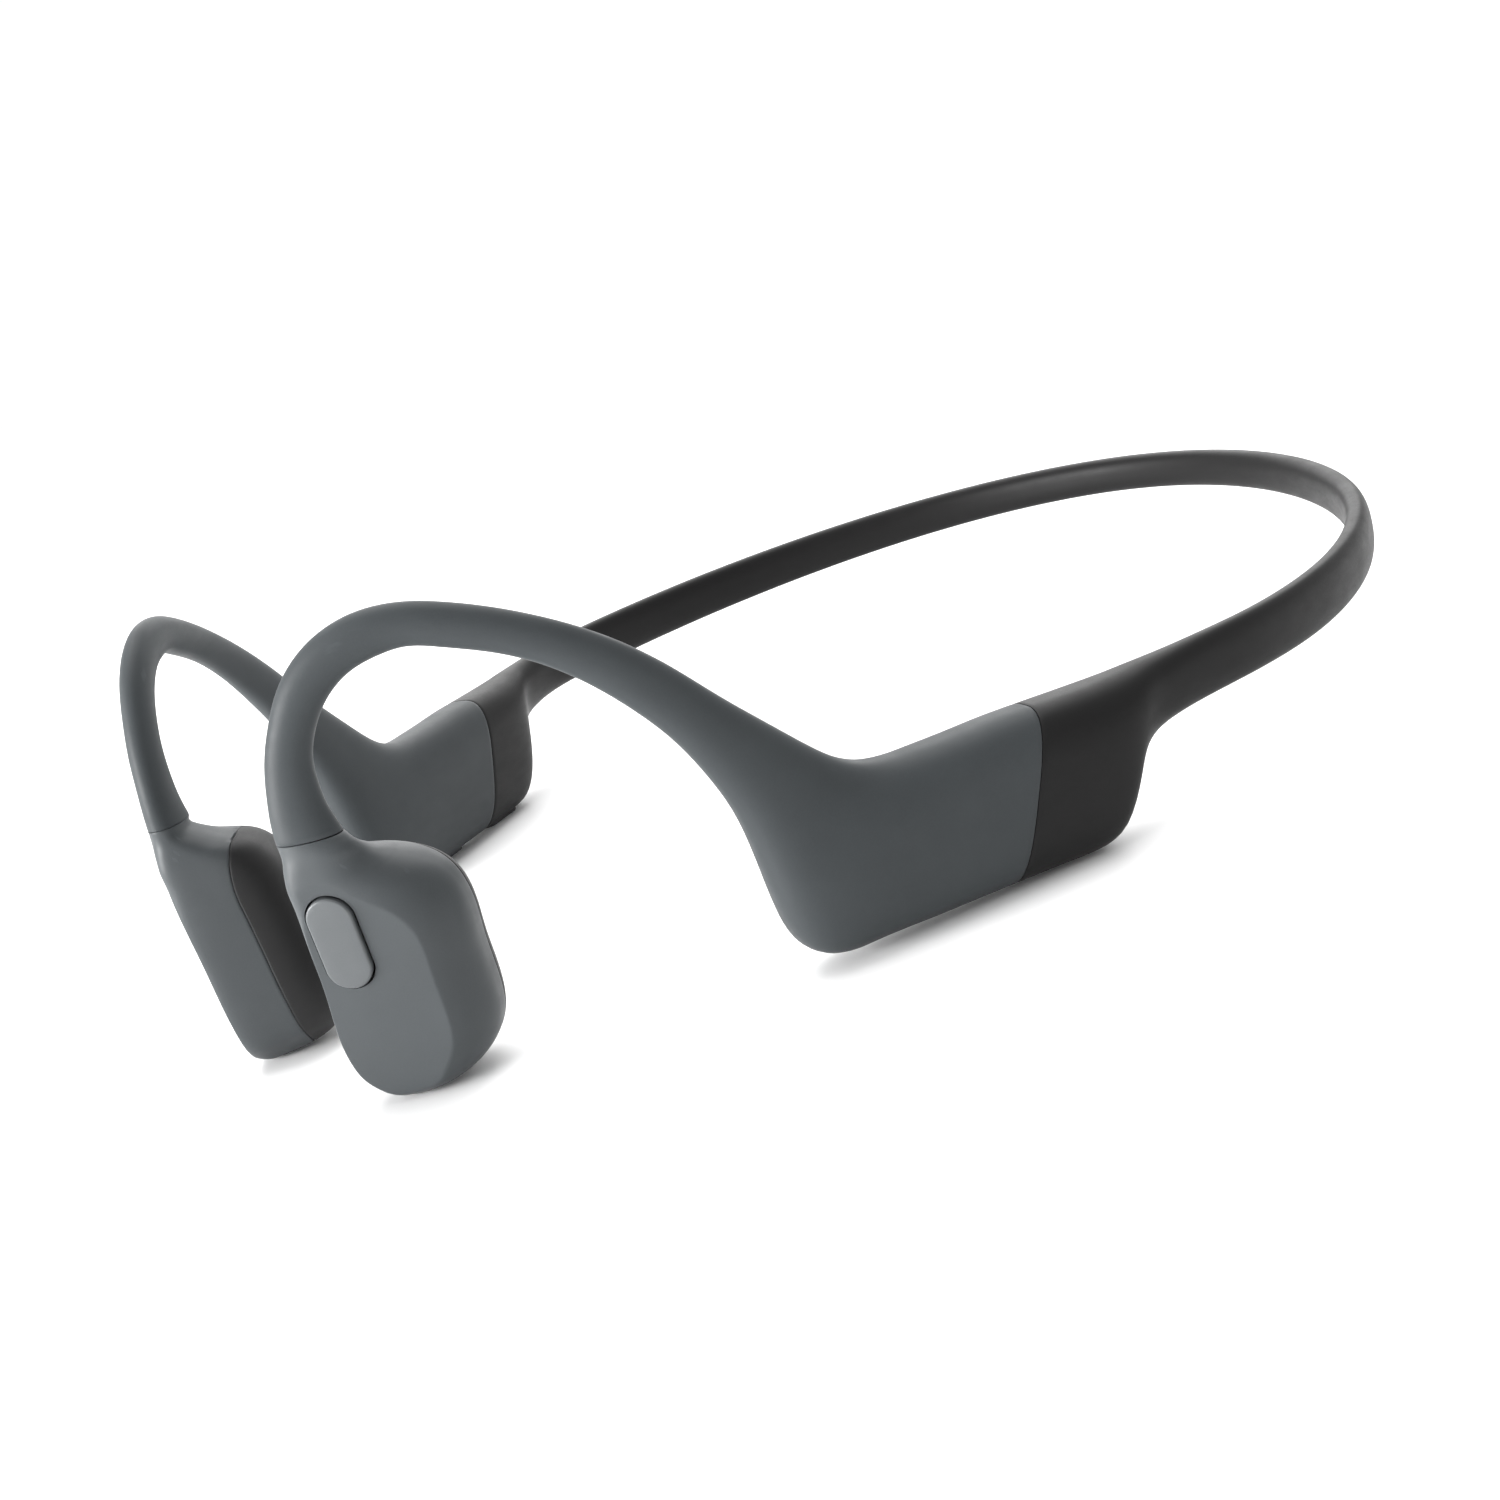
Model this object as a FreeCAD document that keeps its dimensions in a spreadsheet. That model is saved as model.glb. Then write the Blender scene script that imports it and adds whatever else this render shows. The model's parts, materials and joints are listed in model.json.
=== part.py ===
import FreeCAD, Part
import math
import os

import Sketcher
from FreeCAD import Placement, Rotation, Vector

# Bone conduction headphones, resting on a flat surface with the arms unworn.
# +X is the wearer's left, -Y the front, +Z up, the origin on the surface below the middle.
# Lengths are millimetres. Every piece is drawn for the left side or about its own centre.

doc = FreeCAD.newDocument("bone_conduction_headphones")
sheet = doc.addObject("Spreadsheet::Sheet", "dims")

DIMENSIONS = {
    # neckband and pods
    "band_half_width": 58.6,
    "band_depth": 57.8,
    "band_centre_y": 18.5,
    "band_thickness": 3.0,
    "band_height_side": 6.6,
    "band_height_back": 4.9,
    "band_height_dip": 0.2,
    "band_even_run": 98.0,
    "band_square": 2.6,
    "band_top_side": 17.6,
    "band_top_back": 21.0,
    "pod_bottom": 0.5,
    "pod_top": 17.4,
    "pod_thickness": 9.6,
    "seam_run_top": 70.6,
    "seam_run_bottom": 64.0,
    # how the drawn shape is tipped and lowered so that it stands on its transducers and pods
    "rest_tilt": 1.7,
    "rest_drop": 0.6,
    "rest_forward": 0.9,
    # ear hook
    "hook_thickness": 3.2,
    # wires and leads
    "hook_wire_start": 22.4,
    "hook_wire_end": 9.0,
    "hook_lead_start": 21.6,
    "hook_lead_end": 6.3,
    "case_entry": 1.0,
    "band_line_start": 11.4,
    "band_line_rise": 13.9,
    "band_line_reach": 8.0,
    "wire_diameter": 1.0,
    "lead_diameter": 0.9,
    "bore_clearance": 0.05,
    "hook_line_offset": 0.88,
    "band_line_offset": 0.95,
    # hard case inside each pod
    "case_run": 61.7,
    "case_length": 30.0,
    "case_height": 13.4,
    "case_thickness": 6.4,
    "case_wall": 0.8,
    "case_bottom": 2.0,
    "case_corner": 2.4,
    "case_nose": 6.0,
    "case_split": 1.5,
    # transducer
    "shell_turn": 53.0,
    "shell_lean": 6.5,
    "shell_depth": 6.3,
    "shell_wall": 1.4,
    "shell_origin_z": 20.9,
    "deep_cavity_width": 12.4,
    "deep_cavity_height": 18.6,
    "deep_cavity_u": 6.7,
    "deep_cavity_start": 3.4,
    "face_cavity_width": 10.2,
    "face_cavity_height": 17.6,
    "face_cavity_u": 5.7,
    "cavity_corner": 4.6,
    "cavity_w": -9.3,
    "driver_centre_u": 5.85,
    "driver_centre_w": -9.9,
    "panel_width": 11.0,
    "panel_height": 16.8,
    "panel_corner": 4.6,
    "panel_floor": 0.9,
    "panel_wall": 0.5,
    "panel_depth": 3.9,
    "pad_clearance": 0.05,
    # driver stack
    "bracket_diameter": 9.8,
    "bracket_floor": 0.6,
    "bracket_rim": 0.5,
    "bracket_rim_wall": 0.4,
    "bracket_hole": 2.6,
    "coil_outer": 7.2,
    "coil_inner": 6.1,
    "coil_length": 2.0,
    "spring_inner": 7.8,
    "spring_thickness": 0.2,
    "yoke_outer": 9.0,
    "yoke_inner": 7.6,
    "yoke_length": 3.0,
    "yoke_floor": 0.7,
    "magnet_diameter": 5.8,
    "magnet_length": 1.6,
    "pole_diameter": 5.7,
    "pole_length": 0.7,
    "driver_back": 5.0,
    # function button
    "button_centre_u": 2.7,
    "button_centre_w": -4.7,
    "button_width": 4.6,
    "button_length": 9.6,
    "button_proud": 0.5,
    "button_flange": 0.45,
    "flange_thickness": 0.3,
    "button_gap": 0.12,
    "button_travel": 0.35,
    "button_edge": 0.25,
    "boss_wall": 0.7,
    "press_clearance": 0.02,
    # volume buttons
    "volume_up_run": 50.2,
    "volume_down_run": 57.4,
    "volume_length": 6.4,
    "volume_width": 2.6,
    "volume_proud": 0.53,
    "volume_gap": 0.1,
    "volume_flange": 0.3,
    "volume_cap": 1.25,
    "volume_plunger": 1.2,
    "volume_travel": 0.3,
    "plunger_diameter": 1.0,
    # switches and boards
    "switch_width": 3.2,
    "switch_depth": 2.2,
    "switch_height": 0.9,
    "switch_nub": 1.2,
    "switch_nub_height": 0.15,
    "board_thickness": 0.6,
    "switch_board_width": 4.8,
    "switch_board_height": 9.0,
    "switch_board_u": 3.5,
    "switch_board_w": -6.0,
    "switch_board_corner": 2.3,
    "main_board_length": 24.4,
    "main_board_height": 9.0,
    "main_board_run": 62.7,
    "main_board_bottom": 3.1,
    "shield_length": 9.0,
    "shield_height": 6.6,
    "shield_thickness": 1.2,
    "shield_lift": 0.8,
    "shield_run": 67.0,
    "antenna_length": 1.4,
    "antenna_height": 7.0,
    "antenna_thickness": 0.9,
    "antenna_run": 52.0,
    # battery
    "cell_length": 24.0,
    "cell_height": 10.6,
    "cell_corner": 1.2,
    "cell_run": 62.9,
    "cell_board_length": 2.2,
    "cell_board_height": 7.0,
    "cell_board_run": 49.4,
    "cell_board_middle": 7.6,
    # magnetic charging port
    "port_run": 69.8,
    "port_length": 8.0,
    "port_width": 4.2,
    "port_corner": 1.6,
    "port_proud": 0.2,
    "port_depth": 1.7,
    "contact_diameter": 1.2,
    "contact_spacing": 2.6,
    "contact_length": 3.0,
    "port_magnet_length": 1.1,
    "port_magnet_width": 2.4,
    "port_magnet_depth": 1.1,
    "port_magnet_spacing": 5.9,
    "light_run": 62.0,
    "light_diameter": 1.2,
    "light_length": 2.7,
    # microphone in the right transducer
    "microphone_length": 2.6,
    "microphone_width": 1.8,
    "microphone_height": 0.9,
    "microphone_port": 0.8,
    "microphone_u": 2.8,
    "microphone_w": -15.4,
}

for row, (alias, value) in enumerate(DIMENSIONS.items(), start=1):
    sheet.set("A%d" % row, alias.replace("_", " "))
    sheet.set("B%d" % row, str(value))
    sheet.setAlias("B%d" % row, alias)
doc.recompute()


def size(alias):
    return float(getattr(sheet, alias))


# ---------------------------------------------------------------- the arm in side view and plan

# Plan line of the left arm from the transducer to where the round back of the band begins.
ARM_PLAN = [(11.4, -76.9), (14.1, -74.0), (24.0, -63.5), (31.5, -54.7), (36.5, -46.5),
            (40.3, -37.5), (48.9, -15.5), (52.8, -6.0), (56.1, 2.5), (58.1, 11.0)]
PLAN_START = Vector(14.1, -74.0, 0)
BACK_STEPS = 10
RING_POINTS = 16


def plan_curve():
    points = [Vector(x, y, 0) for x, y in ARM_PLAN]
    for step in range(BACK_STEPS + 1):
        turn = math.radians(90.0 * step / BACK_STEPS)
        points.append(Vector(size("band_half_width") * math.cos(turn),
                             size("band_centre_y") + size("band_depth") * math.sin(turn), 0))
    curve = Part.BSplineCurve()
    curve.interpolate(points)
    return curve


PLAN = plan_curve()
PLAN_ZERO = PLAN.parameter(PLAN_START)
PLAN_LENGTH = PLAN.length(PLAN_ZERO, PLAN.LastParameter)


def plan_point(run):
    """Point of the arm's plan line at a distance run from the front of the ear hook."""
    return PLAN.value(PLAN.parameterAtDistance(run, PLAN_ZERO))


def plan_direction(run):
    return Vector(*PLAN.tangent(PLAN.parameterAtDistance(run, PLAN_ZERO))[0]).normalize()


def outward(run):
    ahead = plan_direction(run)
    return Vector(ahead.y, -ahead.x, 0)


def on_arm(run, height):
    return plan_point(run) + Vector(0, 0, height)


BOTTOM = size("pod_bottom")
TOP = size("pod_top")
HOOK = size("hook_thickness")
POD = size("pod_thickness")
BAND = size("band_thickness")

# Each station is a slice through the arm: distance and height of its upper edge, the same of
# its lower edge, its thickness, and how square it is (2 is an ellipse).
HOOK_STATIONS = [
    (-3.0, 26.5, 3.4, 26.3, 3.9, 2.1),
    (-2.9, 28.4, 2.8, 28.6, 3.6, 2.1),
    (-2.4, 31.2, 2.6, 30.8, 3.4, 2.1),
    (-1.6, 34.2, 2.8, 33.3, 3.3, 2.1),
    (-0.1, 37.6, 3.9, 36.0, HOOK, 2.1),
    (2.1, 41.0, 5.8, 38.5, HOOK, 2.1),
    (5.4, 43.8, 8.6, 40.4, HOOK, 2.1),
    (9.6, 45.4, 11.6, 41.2, HOOK, 2.1),
    (14.2, 45.5, 14.4, 41.3, HOOK, 2.1),
    (18.8, 44.3, 17.4, 40.4, HOOK, 2.1),
    (23.4, 42.4, 21.2, 38.9, HOOK, 2.1),
    (28.0, 39.9, 25.0, 36.8, HOOK, 2.1),
    (32.4, 36.8, 28.7, 33.8, 3.4, 2.1),
    (36.6, 32.9, 32.1, 30.1, 3.8, 2.2),
    (40.6, 28.4, 35.2, 25.8, 4.3, 2.2),
    (44.2, 24.6, 37.4, 21.4, 5.0, 2.3),
    (47.2, 21.5, 39.0, 16.8, 5.9, 2.4),
    (49.6, 19.3, 39.8, 11.8, 6.9, 2.5),
    (51.6, 18.1, 40.4, 6.8, 7.9, 2.6),
    (53.4, 17.5, 41.6, 2.8, 8.7, 2.7),
    (55.4, 17.2, 44.2, 0.8, 9.2, 2.8),
    (58.4, 17.1, 48.6, BOTTOM, 9.5, 2.9),
]
POD_STATIONS = [
    (62.6, 17.1, 55.0, BOTTOM, POD, 3.0),
    (67.2, 17.2, 61.4, BOTTOM, POD, 3.0),
    (72.0, 17.15, 68.0, BOTTOM, POD, 3.0),
    (76.0, 17.05, 73.4, BOTTOM, 9.5, 3.0),
]
BAND_START_STATIONS = [
    (79.0, 17.05, 76.6, 1.5, 9.0, 2.9),
    (81.0, 17.1, 78.4, 4.1, 8.1, 2.8),
    (82.8, 17.2, 79.9, 7.0, 6.9, 2.7),
    (84.6, 17.3, 82.2, 9.2, 5.5, 2.6),
    (87.4, 17.4, 86.2, 10.5, 4.3, 2.6),
    (91.6, 17.55, 91.0, 11.0, 3.4, 2.6),
]
BAND_STEPS = 9
# Runs between which the slices slant, so that the pod reaches further back on its outer face.
END_SLANT = 0.7
SLANT_START = 62.0
SLANT_FULL = 78.0
SLANT_FADE = 84.0
SLANT_END = 91.0


def band_stations():
    """Even slices of the band from behind the left pod to the middle of the back."""
    first = size("band_even_run")
    stations = []
    for step in range(BAND_STEPS + 1):
        part = step / BAND_STEPS
        ease = part * part * (3 - 2 * part)
        run = first + (PLAN_LENGTH - first) * part
        height = size("band_height_side") * (1 - ease) + size("band_height_back") * ease
        height -= size("band_height_dip") * (1 - part)
        top = size("band_top_side") * (1 - ease) + size("band_top_back") * ease
        stations.append((run, top, run, top - height, BAND, size("band_square")))
    return stations


def power(value, exponent):
    return math.copysign(abs(value) ** exponent, value)


def closed_curve(points):
    """Smooth closed curve through the points, evenly spaced in its own parameter."""
    curve = Part.BSplineCurve()
    even = [step / len(points) for step in range(len(points) + 1)]
    curve.interpolate(Points=points, PeriodicFlag=True, Parameters=even)
    return curve


def end_slant(run):
    """How far the outer face reaches behind the middle of a slice, near the pod's rear end."""
    rise = min(max((run - SLANT_START) / (SLANT_FULL - SLANT_START), 0), 1)
    fall = min(max((SLANT_END - run) / (SLANT_END - SLANT_FADE), 0), 1)
    return END_SLANT * rise ** 2 * (3 - 2 * rise) * fall ** 2 * (3 - 2 * fall)


def slice_parts(station):
    """Centre, upward half and sideways half of one slice of the left arm."""
    run_top, top, run_bottom, bottom, thickness, square = station
    high = on_arm(run_top, top)
    low = on_arm(run_bottom, bottom)
    centre = (high + low) * 0.5
    run = (run_top + run_bottom) / 2
    side = outward(run) * (thickness / 2) + plan_direction(run) * end_slant(run)
    return centre, (high - low) * 0.5, side, square


def ring_points(station):
    centre, up, side, square = slice_parts(station)
    points = []
    for step in range(RING_POINTS):
        turn = 2 * math.pi * step / RING_POINTS
        points.append(centre + up * power(math.cos(turn), 2 / square)
                      + side * power(math.sin(turn), 2 / square))
    return points


def mirrored(point):
    return Vector(-point.x, point.y, point.z)


def skin(rings):
    """Solid whose one smooth side passes through closed curves along the rings."""
    curves = [closed_curve(points) for points in rings]
    middles = [sum(points, Vector()) * (1 / len(points)) for points in rings]
    travel = [0.0]
    for before, after in zip(middles, middles[1:]):
        travel.append(travel[-1] + (after - before).Length)
    rails = []
    for index in range(1, curves[0].NbPoles + 1):
        rail = Part.BSplineCurve()
        rail.interpolate(Points=[curve.getPole(index) for curve in curves], Parameters=travel)
        rails.append(rail)
    surface = Part.BSplineSurface()
    surface.buildFromPolesMultsKnots([rail.getPoles() for rail in rails],
                                     curves[0].getMultiplicities(), rails[0].getMultiplicities(),
                                     curves[0].getKnots(), rails[0].getKnots(),
                                     True, False, curves[0].Degree, rails[0].Degree)
    side = surface.toShape()
    ends = [Part.Face(Part.Wire([curve.toShape()])) for curve in (curves[0], curves[-1])]
    shell = Part.makeShell([side] + ends)
    shell.sewShape()
    solid = Part.makeSolid(shell)
    if solid.Volume < 0:
        solid.reverse()
    return solid


def half_space(point, direction, reach=120.0):
    """A large block on the side of a plane that direction points to."""
    block = Part.makeBox(2 * reach, 2 * reach, reach, Vector(-reach, -reach, 0))
    block.Placement = Placement(point, Rotation(Vector(0, 0, 1), direction))
    return block


# The grey skin meets the black skin in a slanted plane across each pod.
SEAM_TOP = on_arm(size("seam_run_top"), TOP)
SEAM_FOOT = on_arm(size("seam_run_bottom"), BOTTOM)
SEAM_DIRECTION = (SEAM_TOP - SEAM_FOOT).cross(outward(size("seam_run_bottom"))).normalize()
if SEAM_DIRECTION.y < 0:
    SEAM_DIRECTION = SEAM_DIRECTION * -1


# ---------------------------------------------------------------- wire and lead routes

# Share of the shorter run next to a corner that its rounding takes.
CORNER_SHARE = 0.45


def rounded_path(points):
    """Straight runs joined by tangent arcs, each as large as its two runs allow."""
    edges = []
    start = points[0]
    radii = []
    for before, corner, after in zip(points, points[1:], points[2:]):
        inward = (before - corner).normalize()
        onward = (after - corner).normalize()
        cut = CORNER_SHARE * min((before - corner).Length, (after - corner).Length)
        half_turn = (math.pi - inward.getAngle(onward)) / 2
        radius = cut / math.tan(half_turn)
        radii.append(radius)
        enter = corner + inward * cut
        leave = corner + onward * cut
        bisector = (inward + onward).normalize()
        centre = corner + bisector * (radius / math.cos(half_turn))
        middle = centre - bisector * radius
        edges.append(Part.LineSegment(start, enter).toShape())
        edges.append(Part.Arc(enter, middle, leave).toShape())
        start = leave
    edges.append(Part.LineSegment(start, points[-1]).toShape())
    return Part.Wire(edges), min(radii)


def tube(points, diameter):
    path, radius = rounded_path(points)
    direction = points[1] - points[0]
    circle = Part.Wire([Part.Circle(points[0], direction, diameter / 2).toShape()])
    solid = path.makePipeShell([circle], True, False)
    print("tube %.2f: smallest radius %.1f, volume ratio %.4f"
          % (diameter, radius, solid.Volume / (math.pi * diameter ** 2 / 4 * path.Length)))
    return solid


def hook_route(offset, first_height, last_height):
    """Route inside the ear hook, offset towards its outer edge, from transducer to pod case."""
    points = [on_arm(-offset, first_height)]
    for station in HOOK_STATIONS[1:17:2]:
        centre, up, side, square = slice_parts(station)
        points.append(centre + Vector(up).normalize() * offset)
    case_front = size("case_run") - size("case_length") / 2
    points.append(on_arm(case_front + size("case_entry"), last_height))
    return points


def band_route(offset):
    """Route inside the neckband from one pod case to the other."""
    case_back = size("case_run") + size("case_length") / 2
    points = [on_arm(case_back - size("case_entry"), size("band_line_start") + offset),
              on_arm(case_back + size("band_line_reach"), size("band_line_rise") + offset)]
    for run, top, low_run, low, thickness, square in band_stations()[:-1]:
        points.append(on_arm(run, (top + low) / 2 + offset))
    run, top, low_run, low, thickness, square = band_stations()[-1]
    middle = on_arm(run, (top + low) / 2 + offset)
    return points + [middle] + [mirrored(point) for point in reversed(points)]


HOOK_WIRE_ROUTE = hook_route(size("hook_line_offset"), size("hook_wire_start"), size("hook_wire_end"))
HOOK_LEAD_ROUTE = hook_route(-size("hook_line_offset"), size("hook_lead_start"), size("hook_lead_end"))
BAND_WIRE_ROUTE = band_route(size("band_line_offset"))
BAND_LEAD_ROUTE = band_route(-size("band_line_offset"))


def bores(routes):
    clearance = 2 * size("bore_clearance")
    diameters = [size("wire_diameter") + clearance, size("lead_diameter") + clearance]
    return [tube(route, diameter) for route, diameter in zip(routes, diameters)]


# ---------------------------------------------------------------- frames of the pods and transducers

def frame_placement(origin, x_axis, y_axis, z_axis):
    matrix = FreeCAD.Matrix(x_axis.x, y_axis.x, z_axis.x, origin.x,
                            x_axis.y, y_axis.y, z_axis.y, origin.y,
                            x_axis.z, y_axis.z, z_axis.z, origin.z,
                            0, 0, 0, 1)
    return Placement(matrix)


TURN = math.radians(size("shell_turn"))
LEAN = math.radians(size("shell_lean"))
FLAT_NORMAL = Vector(math.cos(TURN), -math.sin(TURN), 0)
SHELL_U = Vector(math.sin(TURN), math.cos(TURN), 0)
SHELL_N = FLAT_NORMAL * math.cos(LEAN) - Vector(0, 0, math.sin(LEAN))
SHELL_W = FLAT_NORMAL * math.sin(LEAN) + Vector(0, 0, math.cos(LEAN))
SHELL_ORIGIN = Vector(13.4, -77.0, size("shell_origin_z"))


def in_shell(u, w, n):
    """Point of the left transducer: u towards the ear, w up, n out of the outer face."""
    return SHELL_ORIGIN + SHELL_U * u + SHELL_W * w + SHELL_N * n


def shell_placement(side, u, w, n):
    """Frame with Z out of the outer face and Y up, for a piece that is even about its Y axis."""
    point = in_shell(u, w, n)
    if side == "left":
        return frame_placement(point, SHELL_U, SHELL_W, SHELL_N)
    return frame_placement(mirrored(point), mirrored(SHELL_U) * -1, mirrored(SHELL_W), mirrored(SHELL_N))


POD_AHEAD = plan_direction(size("case_run"))
POD_OUT = outward(size("case_run"))
POD_CENTRE = plan_point(size("case_run"))


def pod_placement(side, run, across, height):
    """Frame with X towards the back of the pod, Y up and Z outwards."""
    point = POD_CENTRE + POD_AHEAD * (run - size("case_run")) + POD_OUT * across + Vector(0, 0, height)
    if side == "left":
        return frame_placement(point, POD_AHEAD, Vector(0, 0, 1), POD_AHEAD.cross(Vector(0, 0, 1)))
    ahead = mirrored(POD_AHEAD)
    return frame_placement(mirrored(point), ahead, Vector(0, 0, 1), ahead.cross(Vector(0, 0, 1)))


def floor_placement(run, height):
    """Frame under the right pod with Y towards its back and Z up."""
    point = mirrored(POD_CENTRE + POD_AHEAD * (run - size("case_run"))) + Vector(0, 0, height)
    ahead = mirrored(POD_AHEAD)
    return frame_placement(point, ahead.cross(Vector(0, 0, 1)), ahead, Vector(0, 0, 1))


# ---------------------------------------------------------------- small PartDesign vocabulary

parts = []


def new_body(label, placement=None):
    body = doc.addObject("PartDesign::Body", label)
    body.Label = label
    if placement:
        body.Placement = placement
    parts.append(body)
    return body


def new_sketch(body, name, lift=None):
    sketch = body.newObject("Sketcher::SketchObject", body.Name + "_" + name)
    plane = [feature for feature in body.Origin.OriginFeatures if feature.Role == "XY_Plane"][0]
    sketch.AttachmentSupport = [(plane, "")]
    sketch.MapMode = "FlatFace"
    if lift:
        sketch.setExpression("AttachmentOffset.Base.z", lift)
    return sketch


def bind(sketch, constraint, expression):
    index = sketch.addConstraint(constraint)
    sketch.setExpression("Constraints[%d]" % index, expression)


def draw_circle(sketch, diameter, x=None, y=None):
    ring = sketch.addGeometry(Part.Circle(Vector(0, 0, 0), Vector(0, 0, 1), 1.0))
    bind(sketch, Sketcher.Constraint("Diameter", ring, 2.0), diameter)
    for kind, place in (("DistanceX", x), ("DistanceY", y)):
        if place:
            bind(sketch, Sketcher.Constraint(kind, -1, 1, ring, 3, 0.0), place)
    if not x and not y:
        sketch.addConstraint(Sketcher.Constraint("Coincident", ring, 3, -1, 1))
    elif not x:
        sketch.addConstraint(Sketcher.Constraint("PointOnObject", ring, 3, -2))
    elif not y:
        sketch.addConstraint(Sketcher.Constraint("PointOnObject", ring, 3, -1))


def draw_box(sketch, width, height):
    corners = [Vector(-1, -1, 0), Vector(1, -1, 0), Vector(1, 1, 0), Vector(-1, 1, 0)]
    sides = [sketch.addGeometry(Part.LineSegment(corners[side], corners[(side + 1) % 4]))
             for side in range(4)]
    for side in range(4):
        sketch.addConstraint(Sketcher.Constraint("Coincident", sides[side], 2, sides[(side + 1) % 4], 1))
        level = "Horizontal" if side % 2 == 0 else "Vertical"
        sketch.addConstraint(Sketcher.Constraint(level, sides[side]))
    sketch.addConstraint(Sketcher.Constraint("Symmetric", sides[0], 1, sides[2], 1, -1, 1))
    bind(sketch, Sketcher.Constraint("DistanceX", sides[0], 1, sides[0], 2, 2.0), width)
    bind(sketch, Sketcher.Constraint("DistanceY", sides[1], 1, sides[1], 2, 2.0), height)


def draw_slot(sketch, width, length):
    """Upright slot with round ends about the sketch's origin."""
    normal = Vector(0, 0, 1)
    top = sketch.addGeometry(Part.ArcOfCircle(Part.Circle(Vector(0, 2, 0), normal, 1), 0, math.pi))
    left = sketch.addGeometry(Part.LineSegment(Vector(-1, 2, 0), Vector(-1, -2, 0)))
    foot = Part.Circle(Vector(0, -2, 0), normal, 1)
    low = sketch.addGeometry(Part.ArcOfCircle(foot, math.pi, 2 * math.pi))
    right = sketch.addGeometry(Part.LineSegment(Vector(1, -2, 0), Vector(1, 2, 0)))
    ring = [top, left, low, right]
    for first, second in zip(ring, ring[1:] + ring[:1]):
        sketch.addConstraint(Sketcher.Constraint("Tangent", first, 2, second, 1))
    sketch.addConstraint(Sketcher.Constraint("Vertical", left))
    sketch.addConstraint(Sketcher.Constraint("PointOnObject", top, 3, -2))
    sketch.addConstraint(Sketcher.Constraint("Symmetric", top, 3, low, 3, -1, 1))
    bind(sketch, Sketcher.Constraint("Diameter", top, 2.0), width)
    bind(sketch, Sketcher.Constraint("DistanceY", low, 3, top, 3, 4.0), "(%s) - (%s)" % (length, width))


def pad(body, sketch, length, reverse=False):
    feature = body.newObject("PartDesign::Pad", sketch.Name + "_pad")
    feature.Profile = sketch
    feature.Reversed = reverse
    feature.setExpression("Length", length)
    sketch.Visibility = False
    doc.recompute()
    return feature


def pocket(body, sketch, length, reverse=False):
    before = body.Shape.Volume
    feature = body.newObject("PartDesign::Pocket", sketch.Name + "_pocket")
    feature.Profile = sketch
    feature.Reversed = reverse
    feature.setExpression("Length", length)
    doc.recompute()
    if body.Shape.Volume > before - 1e-4:
        raise RuntimeError(feature.Name + " cuts nothing")
    return feature


def upright_edges(shape):
    names = []
    for number, edge in enumerate(shape.Edges, start=1):
        if len(edge.Vertexes) == 2:
            line = edge.Vertexes[1].Point - edge.Vertexes[0].Point
            if abs(line.z) > 0.999 * line.Length:
                names.append("Edge%d" % number)
    return names


def round_uprights(body, radius):
    base = body.Tip
    feature = body.newObject("PartDesign::Fillet", body.Name + "_corners")
    feature.Base = (base, upright_edges(base.Shape))
    feature.setExpression("Radius", radius)
    body.Tip = feature
    doc.recompute()
    return feature


def feature_part(label, shape, placement=None):
    feature = doc.addObject("Part::Feature", label)
    feature.Label = label
    feature.Shape = shape
    if placement:
        feature.Placement = placement
    parts.append(feature)
    return feature


def rounded_prism(width, height, corner, depth):
    """Rounded block about the Z axis, from z = 0 down to -depth."""
    block = Part.makeBox(width, height, depth, Vector(-width / 2, -height / 2, -depth))
    uprights = [edge for edge in block.Edges if abs(edge.tangentAt(edge.FirstParameter).z) > 0.999]
    return block.makeFillet(corner, uprights)


def slot_prism(width, length, depth):
    return rounded_prism(width, length, width / 2 - 0.001, depth)


# ---------------------------------------------------------------- hard case in each pod

def case_block(grow):
    """Outer block of the case, centred on its own frame, with a well rounded top front corner."""
    length = size("case_length") + 2 * grow
    height = size("case_height") + 2 * grow
    depth = size("case_thickness") + 2 * grow
    block = Part.makeBox(length, height, depth, Vector(-length / 2, -height / 2, -depth / 2))
    along = [edge for edge in block.Edges if abs(edge.tangentAt(edge.FirstParameter).z) > 0.999]
    nose = [edge for edge in along if edge.Vertexes[0].X < 0 and edge.Vertexes[0].Y > 0]
    plain = [edge for edge in along if not edge.isSame(nose[0])]
    block = block.makeFillet(size("case_nose") + grow, nose)
    along = [edge for edge in block.Edges if abs(edge.tangentAt(edge.FirstParameter).z) > 0.999
             and any(abs(edge.Vertexes[0].X - other.Vertexes[0].X) < 1e-6
                     and abs(edge.Vertexes[0].Y - other.Vertexes[0].Y) < 1e-6 for other in plain)]
    return block.makeFillet(size("case_corner") + grow, along)


CASE_MIDDLE = size("case_bottom") + size("case_height") / 2


def case_space(side):
    space = case_block(size("pad_clearance"))
    space.Placement = pod_placement(side, size("case_run"), 0, CASE_MIDDLE)
    return space


def case_halves(side, openings):
    """Tray and lid of the pod's hard case, split near its outer face."""
    outer = case_block(0)
    shell = outer.cut(case_block(-size("case_wall")))
    place = pod_placement(side, size("case_run"), 0, CASE_MIDDLE)
    outward_sign = 1 if side == "left" else -1
    split = outward_sign * (size("case_thickness") / 2 - size("case_split"))
    lid_zone = half_space(Vector(0, 0, split), Vector(0, 0, outward_sign), 60.0)
    halves = {"pod_case_": shell.cut(lid_zone), "pod_lid_": shell.common(lid_zone)}
    for name, shape in halves.items():
        shape.Placement = place
        cut = shape.cut(openings)
        feature_part(name + side, cut)


# ---------------------------------------------------------------- volume keys and charging port

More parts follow.
